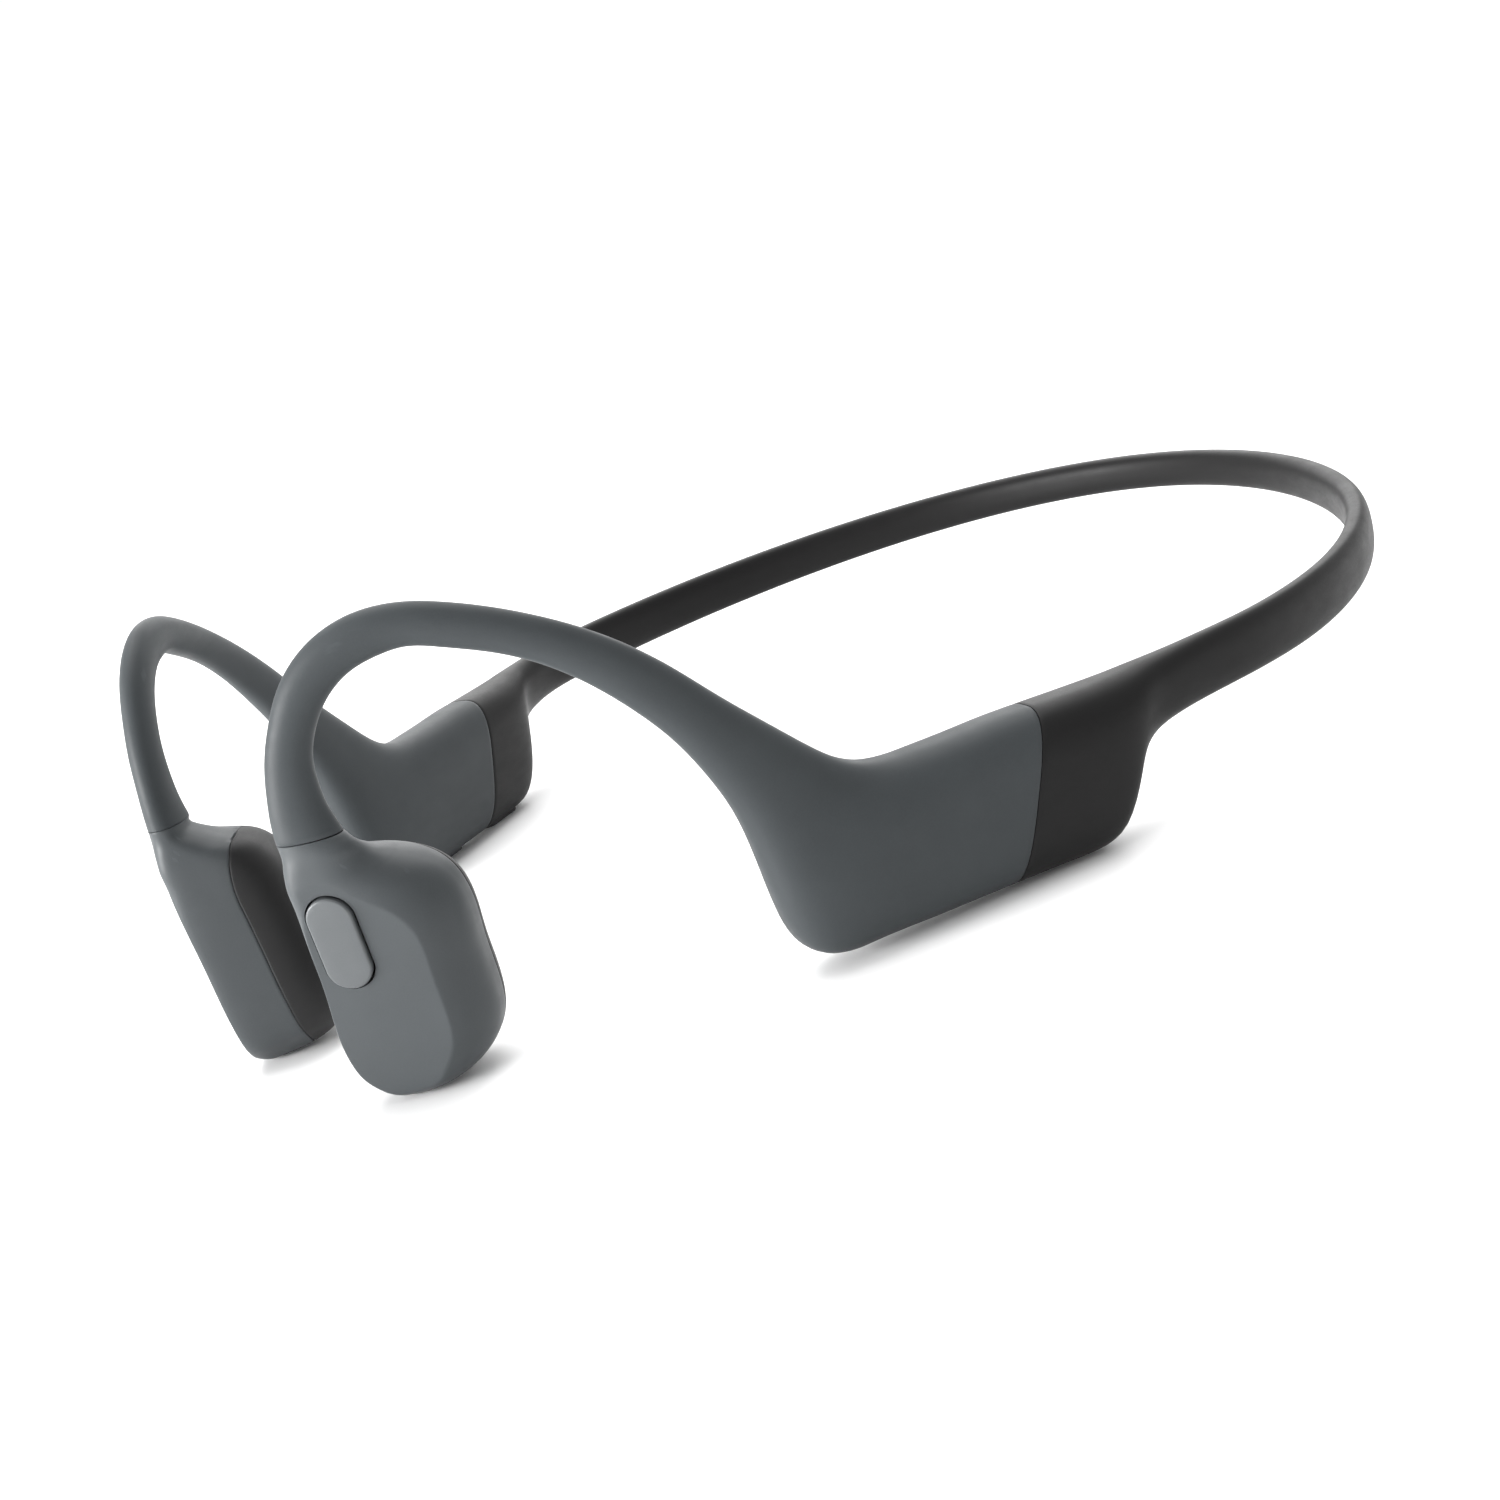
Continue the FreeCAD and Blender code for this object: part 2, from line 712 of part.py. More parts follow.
def moved(shape, placement):
    copy = shape.copy()
    copy.Placement = placement.multiply(copy.Placement)
    return copy


def raised_slot(width, length, start, height):
    slot = slot_prism(width, length, height)
    slot.translate(Vector(0, 0, start + height))
    return slot


def raised_pin(diameter, start, height, x=0.0, y=0.0):
    return Part.makeCylinder(diameter / 2, height, Vector(x, y, start))


VOLUME_RUNS = {"volume_up": size("volume_up_run"), "volume_down": size("volume_down_run")}
VOLUME_FLOOR = size("pod_bottom") - size("volume_proud")
FLANGE_FLOOR = VOLUME_FLOOR + size("volume_cap")
PORT_FLOOR = size("pod_bottom") - size("port_proud")


def underside_openings():
    """Everything cut out of the right pod's skin and case from below."""
    gap = size("volume_gap")
    tools = []
    for run in VOLUME_RUNS.values():
        hole = raised_slot(size("volume_width") + 2 * gap, size("volume_length") + 2 * gap, -1.0, 4.0)
        hole = hole.common(half_space(Vector(0, 0, FLANGE_FLOOR), Vector(0, 0, -1), 30.0))
        grow = 2 * size("volume_flange") + 2 * gap
        room = raised_slot(size("volume_width") + grow, size("volume_length") + grow,
                           FLANGE_FLOOR - 0.05, size("case_bottom") - FLANGE_FLOOR + 0.05)
        plunger = raised_pin(size("plunger_diameter") + 2 * gap, FLANGE_FLOOR, 2.5)
        tools.append(moved(hole.fuse([room, plunger]), floor_placement(run, 0)))
    clear = 2 * size("pad_clearance")
    seat = rounded_prism(size("port_width") + clear, size("port_length") + clear, size("port_corner"), 4.0)
    seat.translate(Vector(0, 0, size("case_bottom")))
    pins = [raised_pin(size("contact_diameter") + clear, 0, 3.5, 0, place * size("contact_spacing") / 2)
            for place in (-1, 1)]
    tools.append(moved(seat.fuse(pins), floor_placement(size("port_run"), 0)))
    light_hole = raised_pin(size("light_diameter") + clear, -1, 5.0)
    tools.append(moved(light_hole, floor_placement(size("light_run"), 0)))
    return tools


# ---------------------------------------------------------------- skins of the arms and the band

LEFT_BORES = bores([HOOK_WIRE_ROUTE, HOOK_LEAD_ROUTE])
RIGHT_BORES = [bore.mirror(Vector(0, 0, 0), Vector(1, 0, 0)) for bore in LEFT_BORES]
BAND_BORES = bores([BAND_WIRE_ROUTE, BAND_LEAD_ROUTE])
UNDERSIDE = underside_openings()


def arm_skins():
    arm_rings = [ring_points(station) for station in HOOK_STATIONS + POD_STATIONS]
    grey = skin(arm_rings).cut(half_space(SEAM_FOOT, SEAM_DIRECTION))
    grey = grey.cut([case_space("left")] + LEFT_BORES)
    feature_part("hook_sleeve_left", grey)
    feature_part("hook_sleeve_right", grey.mirror(Vector(0, 0, 0), Vector(1, 0, 0)).cut(UNDERSIDE))
    back_rings = [ring_points(station) for station in
                  HOOK_STATIONS[-1:] + POD_STATIONS + BAND_START_STATIONS + band_stations()]
    back_rings[-1] = [Vector(0, point.y, point.z) for point in back_rings[-1]]
    half = skin(back_rings).cut(half_space(SEAM_FOOT, SEAM_DIRECTION * -1))
    band = half.fuse(half.mirror(Vector(0, 0, 0), Vector(1, 0, 0))).removeSplitter()
    band = band.cut([case_space("left"), case_space("right")] + BAND_BORES + UNDERSIDE)
    feature_part("neckband_sleeve", max(band.Solids, key=lambda solid: solid.Volume))


def wires_and_leads():
    for side in ("left", "right"):
        for name, route, diameter in (("hook_wire_", HOOK_WIRE_ROUTE, size("wire_diameter")),
                                      ("hook_lead_", HOOK_LEAD_ROUTE, size("lead_diameter"))):
            points = route if side == "left" else [mirrored(point) for point in route]
            feature_part(name + side, tube(points, diameter))
    feature_part("neckband_wire", tube(BAND_WIRE_ROUTE, size("wire_diameter")))
    feature_part("neckband_lead", tube(BAND_LEAD_ROUTE, size("lead_diameter")))


# ---------------------------------------------------------------- transducer housings

# Slices across the transducer: height, front, rear, inner and outer reach, and how far the
# slice has changed from the neck's ellipse to the body's rounded wedge.
NECK_SQUARE = 2.1
INNER_SQUARE = 2.8
FRONT_SQUARE = 6.0
REAR_SQUARE = 2.15
FORWARD_SHARE = 0.12
SHELL_SLICES = [
    (4.0, -0.55, 6.7, -4.5, -0.3, 0.15),
    (3.1, -0.75, 7.1, -5.5, -0.2, 0.35),
    (2.2, -0.9, 7.8, -6.7, -0.1, 0.6),
    (1.0, -1.05, 9.5, -8.8, 0.06, 0.85),
    (-0.8, -1.05, 12.05, -10.4, 0.15, 1.0),
    (-4.0, -1.0, 13.8, -11.5, 0.8, 1.0),
    (-10.0, -1.1, 13.75, -11.9, 1.18, 1.0),
    (-15.0, -1.5, 13.6, -12.0, 1.25, 1.0),
    (-18.0, -1.3, 13.1, -11.7, 1.0, 1.0),
    (-20.2, -0.45, 11.8, -11.0, 0.55, 1.0),
    (-21.6, 1.0, 9.8, -9.6, 0.12, 1.0),
    (-22.6, 2.1, 7.0, -6.8, -1.1, 1.0),
]


def shell_ring(slice_row):
    height, front, rear, inner, outer, change = slice_row
    middle_u = front + (rear - front) * (0.5 - FORWARD_SHARE * change)
    middle_n = (inner + outer) / 2
    points = []
    for step in range(RING_POINTS):
        turn = 2 * math.pi * step / RING_POINTS
        forward = math.cos(turn)
        out = math.sin(turn)
        square = INNER_SQUARE
        if out > 0:
            square = FRONT_SQUARE if forward > 0 else REAR_SQUARE
        square = NECK_SQUARE + (square - NECK_SQUARE) * change
        reach_u = middle_u - front if forward > 0 else rear - middle_u
        points.append(in_shell(middle_u - reach_u * power(forward, 2 / square), height,
                               middle_n + (outer - inner) / 2 * power(out, 2 / square)))
    return points


def shell_tool(shape, u, w, n):
    return moved(shape, shell_placement("left", u, w, n))


SWITCH_BOARD_N = -(size("shell_wall") + size("bore_clearance") + size("flange_thickness")
                   + size("button_travel") + size("press_clearance")
                   + size("switch_nub_height") + size("switch_height"))


def transducer_skins():
    rings = [ring_points(HOOK_STATIONS[0])] + [shell_ring(row) for row in SHELL_SLICES]
    body = skin(rings).cut(half_space(in_shell(0, 0, 0), SHELL_N, 60.0))
    rear_zone = half_space(in_shell(0, 0, -size("shell_depth")), SHELL_N * -1, 60.0)
    wall = size("shell_wall")
    deep_start = size("deep_cavity_start")
    face_room = rounded_prism(size("face_cavity_width"), size("face_cavity_height"),
                              size("cavity_corner"), deep_start - wall)
    deep_room = rounded_prism(size("deep_cavity_width"), size("deep_cavity_height"),
                              size("cavity_corner"), size("shell_depth") - deep_start)
    outer_body = body.cut(rear_zone)
    outer = outer_body.cut([shell_tool(face_room, size("face_cavity_u"), size("cavity_w"), -wall),
                            shell_tool(deep_room, size("deep_cavity_u"), size("cavity_w"), -deep_start)]
                           + LEFT_BORES)
    flange = 2 * size("button_flange") + 2 * size("button_gap")
    pocket_width = size("button_width") + flange
    pocket_length = size("button_length") + flange
    rim = 2 * size("boss_wall")
    boss_depth = -SWITCH_BOARD_N - wall
    centre = (size("button_centre_u"), size("button_centre_w"))
    boss = shell_tool(slot_prism(pocket_width + rim, pocket_length + rim, boss_depth), *centre, -wall)
    pocket_room = shell_tool(slot_prism(pocket_width, pocket_length, boss_depth), *centre, -wall)
    gap = 2 * size("button_gap")
    opening = shell_tool(slot_prism(size("button_width") + gap, size("button_length") + gap, wall + 1),
                         *centre, 1.0)
    left = outer.fuse(boss.common(outer_body)).cut([pocket_room, opening] + LEFT_BORES)
    feature_part("transducer_shell_left", left)
    port = shell_tool(Part.makeCylinder(size("microphone_port") / 2, wall + 1, Vector(0, 0, -wall - 0.5)),
                      size("microphone_u"), size("microphone_w"), 0)
    right = outer.cut(port).mirror(Vector(0, 0, 0), Vector(1, 0, 0))
    feature_part("transducer_shell_right", right)
    clear = size("pad_clearance")
    seat = rounded_prism(size("panel_width") + 2 * clear, size("panel_height") + 2 * clear,
                         size("panel_corner"), size("panel_depth") + clear)
    cushion = body.common(rear_zone).cut(
        shell_tool(seat, size("driver_centre_u"), size("driver_centre_w"), -size("shell_depth")))
    feature_part("contact_pad_left", cushion)
    feature_part("contact_pad_right", cushion.mirror(Vector(0, 0, 0), Vector(1, 0, 0)))


# ---------------------------------------------------------------- driver inside each transducer

def driver(side):
    u = size("driver_centre_u")
    w = size("driver_centre_w")
    back = -size("driver_back")

    yoke = new_body("magnet_yoke_" + side, shell_placement(side, u, w, back))
    disc = new_sketch(yoke, "disc")
    draw_circle(disc, "dims.yoke_outer")
    pad(yoke, disc, "dims.yoke_length", reverse=True)
    bowl = new_sketch(yoke, "bowl", "-dims.yoke_floor")
    draw_circle(bowl, "dims.yoke_inner")
    pocket(yoke, bowl, "dims.yoke_length - dims.yoke_floor")

    magnet_top = back - size("yoke_floor")
    magnet = new_body("magnet_" + side, shell_placement(side, u, w, magnet_top))
    disc = new_sketch(magnet, "disc")
    draw_circle(disc, "dims.magnet_diameter")
    pad(magnet, disc, "dims.magnet_length", reverse=True)

    pole = new_body("pole_plate_" + side, shell_placement(side, u, w, magnet_top - size("magnet_length")))
    disc = new_sketch(pole, "disc")
    draw_circle(disc, "dims.pole_diameter")
    pad(pole, disc, "dims.pole_length", reverse=True)

    plate_top = back - size("yoke_length")
    spring = new_body("spring_plate_" + side, shell_placement(side, u, w, plate_top))
    ring = new_sketch(spring, "ring")
    draw_circle(ring, "dims.bracket_diameter")
    draw_circle(ring, "dims.spring_inner")
    pad(spring, ring, "dims.spring_thickness", reverse=True)

    rim_top = plate_top - size("spring_thickness")
    bracket = new_body("coil_bracket_" + side, shell_placement(side, u, w, rim_top))
    disc = new_sketch(bracket, "disc")
    draw_circle(disc, "dims.bracket_diameter")
    pad(bracket, disc, "dims.bracket_rim + dims.bracket_floor", reverse=True)
    well = new_sketch(bracket, "well")
    draw_circle(well, "dims.bracket_diameter - 2 * dims.bracket_rim_wall")
    pocket(bracket, well, "dims.bracket_rim")
    hole = new_sketch(bracket, "hole", "-dims.bracket_rim")
    draw_circle(hole, "dims.bracket_hole")
    pocket(bracket, hole, "dims.bracket_floor")

    coil_foot = rim_top - size("bracket_rim")
    coil = new_body("voice_coil_" + side, shell_placement(side, u, w, coil_foot))
    ring = new_sketch(coil, "ring")
    draw_circle(ring, "dims.coil_outer")
    draw_circle(ring, "dims.coil_inner")
    pad(coil, ring, "dims.coil_length")

    panel = new_body("face_panel_" + side, shell_placement(side, u, w, -size("shell_depth")))
    outline = new_sketch(panel, "outline")
    draw_box(outline, "dims.panel_width", "dims.panel_height")
    pad(panel, outline, "dims.panel_depth", reverse=True)
    round_uprights(panel, "dims.panel_corner")
    tray = new_sketch(panel, "tray")
    draw_slot(tray, "dims.panel_width - 2 * dims.panel_wall", "dims.panel_height - 2 * dims.panel_wall")
    pocket(panel, tray, "dims.panel_depth - dims.panel_floor")


# ---------------------------------------------------------------- function button and microphone

def top_edges(shape):
    top = shape.BoundBox.ZMax
    return ["Edge%d" % number for number, edge in enumerate(shape.Edges, start=1)
            if edge.BoundBox.ZMin > top - 1e-6]


def function_button():
    u = size("button_centre_u")
    w = size("button_centre_w")
    button = new_body("function_button", shell_placement("left", u, w, size("button_proud")))
    cap = new_sketch(button, "cap")
    draw_slot(cap, "dims.button_width", "dims.button_length")
    pad(button, cap, "dims.button_proud + dims.shell_wall + dims.bore_clearance", reverse=True)
    cap_pad = button.Tip
    rounded = button.newObject("PartDesign::Fillet", "function_button_edge")
    rounded.Base = (cap_pad, top_edges(cap_pad.Shape))
    rounded.setExpression("Radius", "dims.button_edge")
    button.Tip = rounded
    doc.recompute()
    flange = new_sketch(button, "flange", "-dims.button_proud - dims.shell_wall - dims.bore_clearance")
    draw_slot(flange, "dims.button_width + 2 * dims.button_flange",
              "dims.button_length + 2 * dims.button_flange")
    pad(button, flange, "dims.flange_thickness", reverse=True)

    tact_switch("function_switch", shell_placement("left", u, w, SWITCH_BOARD_N))

    board = new_body("switch_board", shell_placement("left", size("switch_board_u"),
                                                     size("switch_board_w"), SWITCH_BOARD_N))
    outline = new_sketch(board, "outline")
    draw_box(outline, "dims.switch_board_width", "dims.switch_board_height")
    pad(board, outline, "dims.board_thickness", reverse=True)
    round_uprights(board, "dims.switch_board_corner")


def tact_switch(label, placement):
    """Square switch standing on its frame's plane, with a round nub on top."""
    switch = new_body(label, placement)
    block = new_sketch(switch, "block")
    draw_box(block, "dims.switch_depth", "dims.switch_width")
    pad(switch, block, "dims.switch_height")
    nub = new_sketch(switch, "nub", "dims.switch_height")
    draw_circle(nub, "dims.switch_nub")
    pad(switch, nub, "dims.switch_nub_height")


def microphone():
    body = new_body("microphone", shell_placement("right", size("microphone_u"), size("microphone_w"),
                                                  -size("shell_wall")))
    outline = new_sketch(body, "outline")
    draw_box(outline, "dims.microphone_width", "dims.microphone_length")
    pad(body, outline, "dims.microphone_height", reverse=True)


# ---------------------------------------------------------------- contents of the pods

def battery():
    middle = size("case_bottom") + size("case_height") / 2
    across = -size("case_thickness") / 2 + size("case_wall")
    cell = new_body("battery_cell", pod_placement("left", size("cell_run"), across, middle))
    outline = new_sketch(cell, "outline")
    draw_box(outline, "dims.cell_length", "dims.cell_height")
    pad(cell, outline, "dims.case_thickness - 2 * dims.case_wall")
    round_uprights(cell, "dims.cell_corner")
    board = new_body("battery_board", pod_placement("left", size("cell_board_run"), across,
                                                    size("cell_board_middle")))
    outline = new_sketch(board, "outline")
    draw_box(outline, "dims.cell_board_length", "dims.cell_board_height")
    pad(board, outline, "dims.board_thickness")


def electronics():
    """Main board on edge in the right pod; its frame's Z points to the inner side."""
    face = -size("switch_depth") / 2
    middle = size("main_board_bottom") + size("main_board_height") / 2
    board = new_body("main_board", pod_placement("right", size("main_board_run"), face, middle))
    outline = new_sketch(board, "outline")
    draw_box(outline, "dims.main_board_length", "dims.main_board_height")
    pad(board, outline, "dims.board_thickness")
    for label, run, width, height, depth in (
            ("radio_shield", size("shield_run"), "shield_length", "shield_height", "shield_thickness"),
            ("antenna", size("antenna_run"), "antenna_length", "antenna_height", "antenna_thickness")):
        block = new_body(label, pod_placement("right", run, face, middle + size("shield_lift")))
        outline = new_sketch(block, "outline")
        draw_box(outline, "dims." + width, "dims." + height)
        pad(block, outline, "dims." + depth, reverse=True)


def volume_keys():
    nub_floor = FLANGE_FLOOR + size("flange_thickness") + size("volume_plunger") \
        + size("volume_travel") + size("press_clearance")
    for name, run in VOLUME_RUNS.items():
        key = new_body(name + "_button", floor_placement(run, VOLUME_FLOOR))
        cap = new_sketch(key, "cap")
        draw_slot(cap, "dims.volume_width", "dims.volume_length")
        pad(key, cap, "dims.volume_cap")
        flange = new_sketch(key, "flange", "dims.volume_cap")
        draw_slot(flange, "dims.volume_width + 2 * dims.volume_flange",
                  "dims.volume_length + 2 * dims.volume_flange")
        pad(key, flange, "dims.flange_thickness")
        plunger = new_sketch(key, "plunger", "dims.volume_cap + dims.flange_thickness")
        draw_circle(plunger, "dims.plunger_diameter")
        pad(key, plunger, "dims.volume_plunger")
        top = nub_floor + size("switch_nub_height") + size("switch_height")
        downward = floor_placement(run, top).multiply(Placement(Vector(), Rotation(Vector(0, 1, 0), 180)))
        tact_switch(name + "_switch", downward)


def charging_port():
    frame = new_body("charge_port_frame", floor_placement(size("port_run"), PORT_FLOOR))
    outline = new_sketch(frame, "outline")
    draw_box(outline, "dims.port_width", "dims.port_length")
    pad(frame, outline, "dims.port_depth")
    round_uprights(frame, "dims.port_corner")
    holes = new_sketch(frame, "holes")
    draw_circle(holes, "dims.contact_diameter", y="dims.contact_spacing / 2")
    draw_circle(holes, "dims.contact_diameter", y="-dims.contact_spacing / 2")
    pocket(frame, holes, "dims.port_depth", reverse=True)
    for place in (-1, 1):
        room = new_sketch(frame, "magnet_room_%s" % ("front" if place < 0 else "back"), "dims.port_depth")
        room.setExpression("AttachmentOffset.Base.y", "%d * dims.port_magnet_spacing / 2" % place)
        draw_box(room, "dims.port_magnet_width", "dims.port_magnet_length")
        pocket(frame, room, "dims.port_magnet_depth")

    pins = []
    magnets = []
    for place in (-1, 1):
        pin = doc.addObject("Part::Cylinder", "contact_pin")
        pin.setExpression("Radius", "dims.contact_diameter / 2")
        pin.setExpression("Height", "dims.contact_length")
        pin.setExpression("Placement.Base.y", "%d * dims.contact_spacing / 2" % place)
        pins.append(pin)
        magnet = doc.addObject("Part::Box", "port_magnet")
        magnet.setExpression("Length", "dims.port_magnet_width")
        magnet.setExpression("Width", "dims.port_magnet_length")
        magnet.setExpression("Height", "dims.port_magnet_depth")
        magnet.setExpression("Placement.Base.x", "-dims.port_magnet_width / 2")
        magnet.setExpression("Placement.Base.y",
                             "%d * dims.port_magnet_spacing / 2 - dims.port_magnet_length / 2" % place)
        magnet.setExpression("Placement.Base.z", "dims.port_depth - dims.port_magnet_depth")
        magnets.append(magnet)
    for label, links in (("charge_contacts", pins), ("charge_magnets", magnets)):
        group = doc.addObject("Part::Compound", label)
        group.Label = label
        group.Links = links
        group.Placement = floor_placement(size("port_run"), PORT_FLOOR)
        parts.append(group)

    light = doc.addObject("Part::Cylinder", "status_light_pipe")
    light.Label = "status_light_pipe"
    light.setExpression("Radius", "dims.light_diameter / 2")
    light.setExpression("Height", "dims.light_length")
    light.Placement = floor_placement(size("light_run"), size("pod_bottom"))
    parts.append(light)


arm_skins()
wires_and_leads()
transducer_skins()
for arm_side in ("left", "right"):
    driver(arm_side)
case_halves("left", LEFT_BORES + BAND_BORES)
case_halves("right", RIGHT_BORES + BAND_BORES + UNDERSIDE)
function_button()
microphone()
battery()
electronics()
volume_keys()
charging_port()

# The drawn shape is tipped and lowered on to the surface that it stands on.
REST = Placement(Vector(0, -size("rest_forward"), -size("rest_drop")),
                 Rotation(Vector(1, 0, 0), -size("rest_tilt")))
for item in parts:
    item.Placement = REST.multiply(item.Placement)
doc.recompute()

for item in doc.Objects:
    if "Invalid" in item.State or "Error" in item.State:
        raise RuntimeError("%s is %s" % (item.Name, item.State))
for item in parts:
    if item.Shape.isNull() or not item.Shape.isValid():
        raise RuntimeError(item.Label + " has no valid shape")

os.makedirs("parts", exist_ok=True)
for item in parts:
    item.Shape.exportStep("parts/%s.step" % item.Label)
    box = item.Shape.BoundBox
    print("%-24s solids %d volume %9.2f  x %.1f %.1f  y %.1f %.1f  z %.2f %.2f"
          % (item.Label, len(item.Shape.Solids), item.Shape.Volume,
             box.XMin, box.XMax, box.YMin, box.YMax, box.ZMin, box.ZMax))
print(len(parts), "parts")
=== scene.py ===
import json
import math

import bmesh
import bpy
import numpy as np
from mathutils import Matrix, Vector


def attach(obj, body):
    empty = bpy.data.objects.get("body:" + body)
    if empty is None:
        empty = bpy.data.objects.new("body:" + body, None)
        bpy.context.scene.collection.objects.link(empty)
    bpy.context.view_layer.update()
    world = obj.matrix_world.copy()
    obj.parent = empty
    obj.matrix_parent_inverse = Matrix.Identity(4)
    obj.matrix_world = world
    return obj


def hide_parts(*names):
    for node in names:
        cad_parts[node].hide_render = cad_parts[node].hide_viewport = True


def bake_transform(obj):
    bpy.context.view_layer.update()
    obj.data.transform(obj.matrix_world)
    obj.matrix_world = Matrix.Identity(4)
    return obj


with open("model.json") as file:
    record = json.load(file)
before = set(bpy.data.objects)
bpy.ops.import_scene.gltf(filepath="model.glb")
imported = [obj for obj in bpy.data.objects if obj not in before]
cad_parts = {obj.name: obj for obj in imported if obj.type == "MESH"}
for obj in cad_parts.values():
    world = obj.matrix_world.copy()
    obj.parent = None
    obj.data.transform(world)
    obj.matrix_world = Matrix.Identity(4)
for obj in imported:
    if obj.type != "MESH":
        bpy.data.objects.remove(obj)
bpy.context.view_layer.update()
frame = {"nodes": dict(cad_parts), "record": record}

# Bone conduction headphones: neckband, pods, ear hooks and transducers. Shapes are worked out in
# millimetres for the wearer's left side, then mirrored and turned to metres.

MM = 0.001
MIRROR = np.array([-1.0, 1.0, 1.0])
UP = np.array([0.0, 0.0, 1.0])

# Half of the gap between two skins that meet.
SEAM_GAP = 0.03

# How the level drawing is tipped and moved so that the headset stands on the table.
REST_TILT, REST_FORWARD, REST_DROP = math.radians(1.7), 0.9, 0.6


def leaned(directions):
    """Directions of the drawing turned to how the headset stands on the table."""
    x, y, z = np.moveaxis(np.asarray(directions, float), -1, 0)
    c, s = math.cos(REST_TILT), math.sin(REST_TILT)
    return np.stack([x, y * c + z * s, z * c - y * s], axis=-1)


def at_rest(points):
    """Places of the drawing moved to where the headset stands on the table."""
    return leaned(points) - (0.0, REST_FORWARD, REST_DROP)


# ---------------------------------------------------------------- curves


def eased(part):
    """Smooth step from 0 to 1."""
    part = np.clip(part, 0, 1)
    return part ** 2 * (3 - 2 * part)


class Spline:
    """Natural cubic curve through rows of values at given places."""

    def __init__(self, places, rows):
        self.x = np.asarray(places, float)
        self.y = np.asarray(rows, float).reshape(len(self.x), -1)
        self.h = np.diff(self.x)
        slope = np.diff(self.y, axis=0) / self.h[:, None]
        system = np.eye(len(self.x))
        right = np.zeros_like(self.y)
        for i in range(1, len(self.x) - 1):
            before, after = self.h[i - 1], self.h[i]
            system[i, i - 1:i + 2] = before, 2 * (before + after), after
            right[i] = 6 * (slope[i] - slope[i - 1])
        self.second = np.linalg.solve(system, right)

    def __call__(self, at):
        at = np.atleast_1d(np.asarray(at, float))
        i = np.clip(np.searchsorted(self.x, at) - 1, 0, len(self.h) - 1)
        h = self.h[i][:, None]
        a = (self.x[i + 1] - at)[:, None] / h
        b = 1 - a
        bend = (a ** 3 - a) * self.second[i] + (b ** 3 - b) * self.second[i + 1]
        return a * self.y[i] + b * self.y[i + 1] + bend * h * h / 6


def travel(points):
    """Distance of each point along a polyline."""
    steps = np.linalg.norm(np.diff(points, axis=0), axis=1)
    return np.concatenate([[0.0], np.cumsum(steps)])


def resample(points, places):
    """Points of a polyline at given distances along it."""
    along = travel(points)
    return np.stack([np.interp(places, along, points[:, k]) for k in range(3)], axis=1)


# Plan line of the left arm, from the transducer to the side of the head, and then the ellipse
# that the band follows to just past the middle of the back.
ARM_PLAN = [
    (11.4, -76.9), (14.1, -74.0), (24.0, -63.5), (31.5, -54.7), (36.5, -46.5),
    (40.3, -37.5), (48.9, -15.5), (52.8, -6.0), (56.1, 2.5), (58.1, 11.0),
]
PLAN_START = (14.1, -74.0)
BACK_HALF_WIDTH, BACK_DEPTH, BACK_CENTRE_Y = 58.6, 57.8, 18.5
BACK_LAST_DEGREES, BACK_STEP_DEGREES = 117, 9
PLAN_SAMPLES = 8000

for degrees in range(0, BACK_LAST_DEGREES + 1, BACK_STEP_DEGREES):
    turn = math.radians(degrees)
    ARM_PLAN.append((BACK_HALF_WIDTH * math.cos(turn), BACK_CENTRE_Y + BACK_DEPTH * math.sin(turn)))
plan_knots = np.array(ARM_PLAN)
plan_spline = Spline(travel(plan_knots), plan_knots)
plan_line = plan_spline(np.linspace(0, plan_spline.x[-1], PLAN_SAMPLES))
plan_run = travel(plan_line)
plan_run -= plan_run[np.argmin(np.hypot(*(plan_line - PLAN_START).T))]
plan_ahead = np.gradient(plan_line, plan_run, axis=0)
second_half = PLAN_SAMPLES // 2
back_index = second_half + np.argmin(np.abs(plan_line[second_half:, 0]))
BACK_RUN = float(plan_run[back_index])


def on_arm(run, height):
    """Point of the left arm at a distance along the plan line and a height."""
    x, y = (np.interp(run, plan_run, plan_line[:, k]) for k in range(2))
    return np.array([x, y, height])


def outward(run):
    """Level direction away from the head, square to the plan line."""
    ahead = np.array([np.interp(run, plan_run, plan_ahead[:, k]) for k in range(2)])
    ahead /= np.linalg.norm(ahead)
    return np.array([ahead[1], -ahead[0], 0.0])


